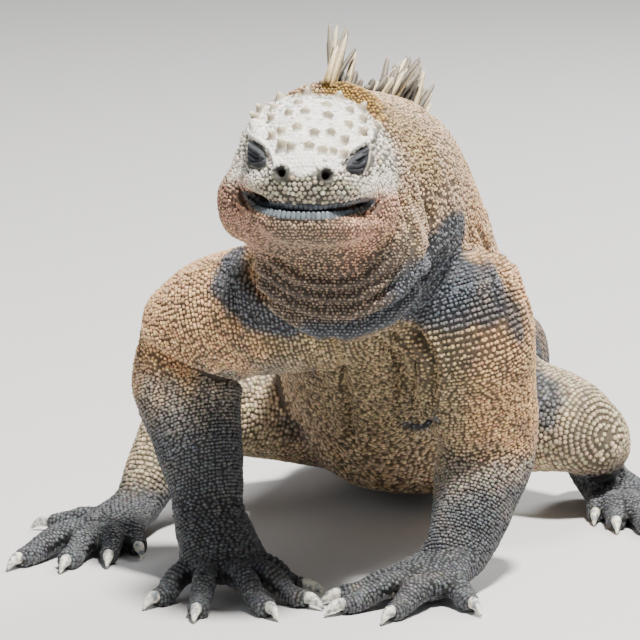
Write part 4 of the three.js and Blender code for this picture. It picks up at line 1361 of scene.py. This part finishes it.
def make_lip_plates(tree):
    line = smooth_path(MOUTH_LINE, 14)
    _, full = mouth_offset(line)
    # Painted shade at the sunk rim of each plate, lighter towards its middle.
    painted_shading = np.repeat([0.68, 0.9, 1.05, 1.08], [PLATE_SIDES, PLATE_SIDES, PLATE_SIDES, 1])[:, None]
    forms, tones = [], []
    for reach, sign, shade in ((UPPER_LIP, -1, "upper lip"), (LOWER_LIP, 1, "lower lip")):
        centres = []
        for (u, v), fullness in zip(line, full):
            hit, normal, _ = seen(tree, u, v + sign * (0.8 + reach * fullness / 2))
            if hit is not None and fullness > 0.3:
                centres.append((*hit, *normal, fullness))
        centres = np.array(centres)
        lengths = lengths_along(centres[:, :3])
        for at in np.arange(PLATE_WIDTH / 2, lengths[-1], PLATE_WIDTH):
            spot = np.array([np.interp(at, lengths, column) for column in centres.T])
            ahead = np.array([np.interp(at + 0.5, lengths, column) for column in centres.T[:3]]) - spot[:3]
            normal = unit(spot[3:6])
            along = unit(ahead - normal * (ahead @ normal))
            tall = reach * spot[6] / 2 * MM_PER_PIXEL * (1 + 0.05 * rng.standard_normal())
            forms.append(plate(spot[:3], along, np.cross(along, normal), normal, PLATE_WIDTH * 0.47, tall))
            corner = ease(0.6, 1.0, abs(2 * at / lengths[-1] - 1))
            tone = mix(SHADES[shade], SHADES["throat"] * 0.5, corner)
            tones.append(tone * math.exp(0.16 * rng.standard_normal()) * painted_shading)
    return tinted_object("lip_plates", forms, tones)


# Materials

def new_material(name, finish):
    """A material, its shader with the finish set, its nodes and its links."""
    made = bpy.data.materials.new(name)
    made.use_nodes = True
    nodes, links = made.node_tree.nodes, made.node_tree.links
    shader = nodes["Principled BSDF"]
    for socket, value in finish.items():
        shader.inputs[socket].default_value = value
    return made, shader, nodes, links


def add_node(nodes, kind, **sockets):
    """A node, with the sockets of these names set. An underscore stands for a space."""
    node = nodes.new("ShaderNode" + kind)
    for socket, value in sockets.items():
        node.inputs[socket.replace("_", " ")].default_value = value
    return node


def add_noise(nodes, links, where, **sockets):
    cloud = add_node(nodes, "TexNoise", **sockets)
    links.new(where.outputs["Object"], cloud.inputs["Vector"])
    return cloud.outputs["Fac"]


def add_ramp(nodes, links, source, *stops):
    """Colours between two stops, each a position and a linear colour."""
    ramp = nodes.new("ShaderNodeValToRGB")
    for element, (position, shade) in zip(ramp.color_ramp.elements, stops):
        element.position = position
        element.color = (*shade, 1)
    links.new(source, ramp.inputs["Fac"])
    return ramp.outputs["Color"]


def skin_material(name, roughness, speck, bump_size, bump):
    made, shader, nodes, links = new_material(name, {"Specular IOR Level": 0.4})
    tint = nodes.new("ShaderNodeAttribute")
    tint.attribute_name = "tint"
    where = nodes.new("ShaderNodeTexCoord")
    cloud = add_noise(nodes, links, where, Scale=speck, Detail=6, Roughness=0.65)
    blend = nodes.new("ShaderNodeMix")
    blend.data_type = "RGBA"
    blend.blend_type = "MULTIPLY"
    blend.inputs["Factor"].default_value = 0.8
    links.new(tint.outputs["Color"], blend.inputs["A"])
    mottle = add_ramp(nodes, links, cloud, (0.3, (0.62, 0.6, 0.58)), (0.72, (1.25, 1.22, 1.16)))
    links.new(mottle, blend.inputs["B"])
    links.new(blend.outputs["Result"], shader.inputs["Base Color"])
    lift = add_node(nodes, "Bump", Strength=bump, Distance=0.0004)
    links.new(add_noise(nodes, links, where, Scale=bump_size, Detail=4), lift.inputs["Height"])
    links.new(lift.outputs["Normal"], shader.inputs["Normal"])
    rough = add_node(nodes, "MapRange", To_Min=roughness - 0.12, To_Max=roughness + 0.12)
    links.new(cloud, rough.inputs["Value"])
    links.new(rough.outputs["Result"], shader.inputs["Roughness"])
    return made


def cloudy_material(name, grain, stops, finish):
    """Horn or a wet eye: fine clouds of two colours."""
    made, shader, nodes, links = new_material(name, finish)
    cloud = add_noise(nodes, links, nodes.new("ShaderNodeTexCoord"), **grain)
    links.new(add_ramp(nodes, links, cloud, *stops), shader.inputs["Base Color"])
    return made


# Pieces

def make_claws(material):
    for name, (_, digits) in PAWS.items():
        for k, digit in enumerate(digits):
            points, faces = tube(claw_rows(digit), 14, 14)
            made = make_object(f"horn_{name}_{k + 1}", world(points), faces)
            made.data.materials.append(material)
            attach(made, "root")
            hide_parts(f"claw_{name}_{k + 1}")


def make_eyes(material):
    for name, side in (("eye_right", -1), ("eye_left", 1)):
        points, faces = ball(flip(EYE_AT, side), [EYE_RADIUS - 0.4] * 3)
        made = make_object(name.replace("eye", "eyeball"), world(from_head(points)), faces)
        made.data.materials.append(material)
        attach(made, "root")
        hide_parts(name)


def make_floor():
    corners = [(x * FLOOR_HALF, y * FLOOR_HALF, 0) for x, y in ((-1, -1), (1, -1), (1, 1), (-1, 1))]
    made = make_object("floor", corners, [(0, 1, 2, 3)])
    material = new_material("floor_pale", {"Base Color": (0.62, 0.61, 0.6, 1), "Roughness": 0.9})[0]
    made.data.materials.append(material)


def make_lights():
    for name, (place, size, power, tint) in LIGHTS.items():
        data = bpy.data.lights.new(name, "AREA")
        data.shape = "DISK"
        data.size = size
        data.energy = power
        data.color = tint
        made = linked(name, data)
        made.location = place
        made.rotation_euler = (Vector(LIGHT_AIM) - Vector(place)).to_track_quat("-Z", "Y").to_euler()
    background = bpy.data.worlds.new("studio")
    background.use_nodes = True
    background.node_tree.nodes["Background"].inputs["Color"].default_value = SKY
    background.node_tree.nodes["Background"].inputs["Strength"].default_value = SKY_STRENGTH
    bpy.context.scene.world = background


def flesh_nodes():
    return [name for name in frame["nodes"] if not name.startswith(("claw", "eye"))]


make_camera()
make_floor()
make_lights()

skin_mesh = make_skin()
skin_points = read(skin_mesh.vertices, "co", 3)
skin_tree = tree_of(skin_points, skin_mesh)
markings_and_shade = MarkingsAndShade(skin_tree)
# The bare skin between the scales is darkened by a painted shade.
set_colours(skin_mesh, markings_and_shade.paint(skin_points) * bare_skin_painted_shade(skin_points)[:, None])
set_points(skin_mesh, world(skin_points))
skin = linked("skin", skin_mesh)
skin_mesh.shade_smooth()
scaly = skin_material("scaly_skin", 0.62, 300, 1600, 0.35)
skin_mesh.materials.clear()
skin_mesh.materials.append(scaly)
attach(skin, "root")
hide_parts(*flesh_nodes())

for group, batches in place_scales(skin_tree, markings_and_shade).groups.items():
    piece = scale_mesh("scales_" + group, batches, markings_and_shade)
    piece.data.materials.append(scaly)
    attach(piece, "root")

draws = Draws()
lip_gloss = skin_material("lip_gloss", 0.36, 500, 1800, 0.2)
for piece, material, slot in (
    (make_crest(draws), skin_material("crest_horn", 0.5, 700, 2400, 0.3), "body_skin"),
    (make_cones(skin_tree, draws), scaly, "head_scales"),
    (make_lip_plates(skin_tree), lip_gloss, "head_scales"),
):
    piece.data.materials.append(material)
    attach(piece, "root")
make_claws(cloudy_material("claw_horn", {"Scale": 420, "Detail": 5},
                           ((0.38, SHADES["claw root"]), (0.58, SHADES["claw tip"])), {"Roughness": 0.4}))
make_eyes(cloudy_material("eye_wet", {"Scale": 900}, ((0, (0.006, 0.005, 0.004)), (1, (0.03, 0.02, 0.012))),
                          {"Roughness": 0.08, "Coat Weight": 1.0}))
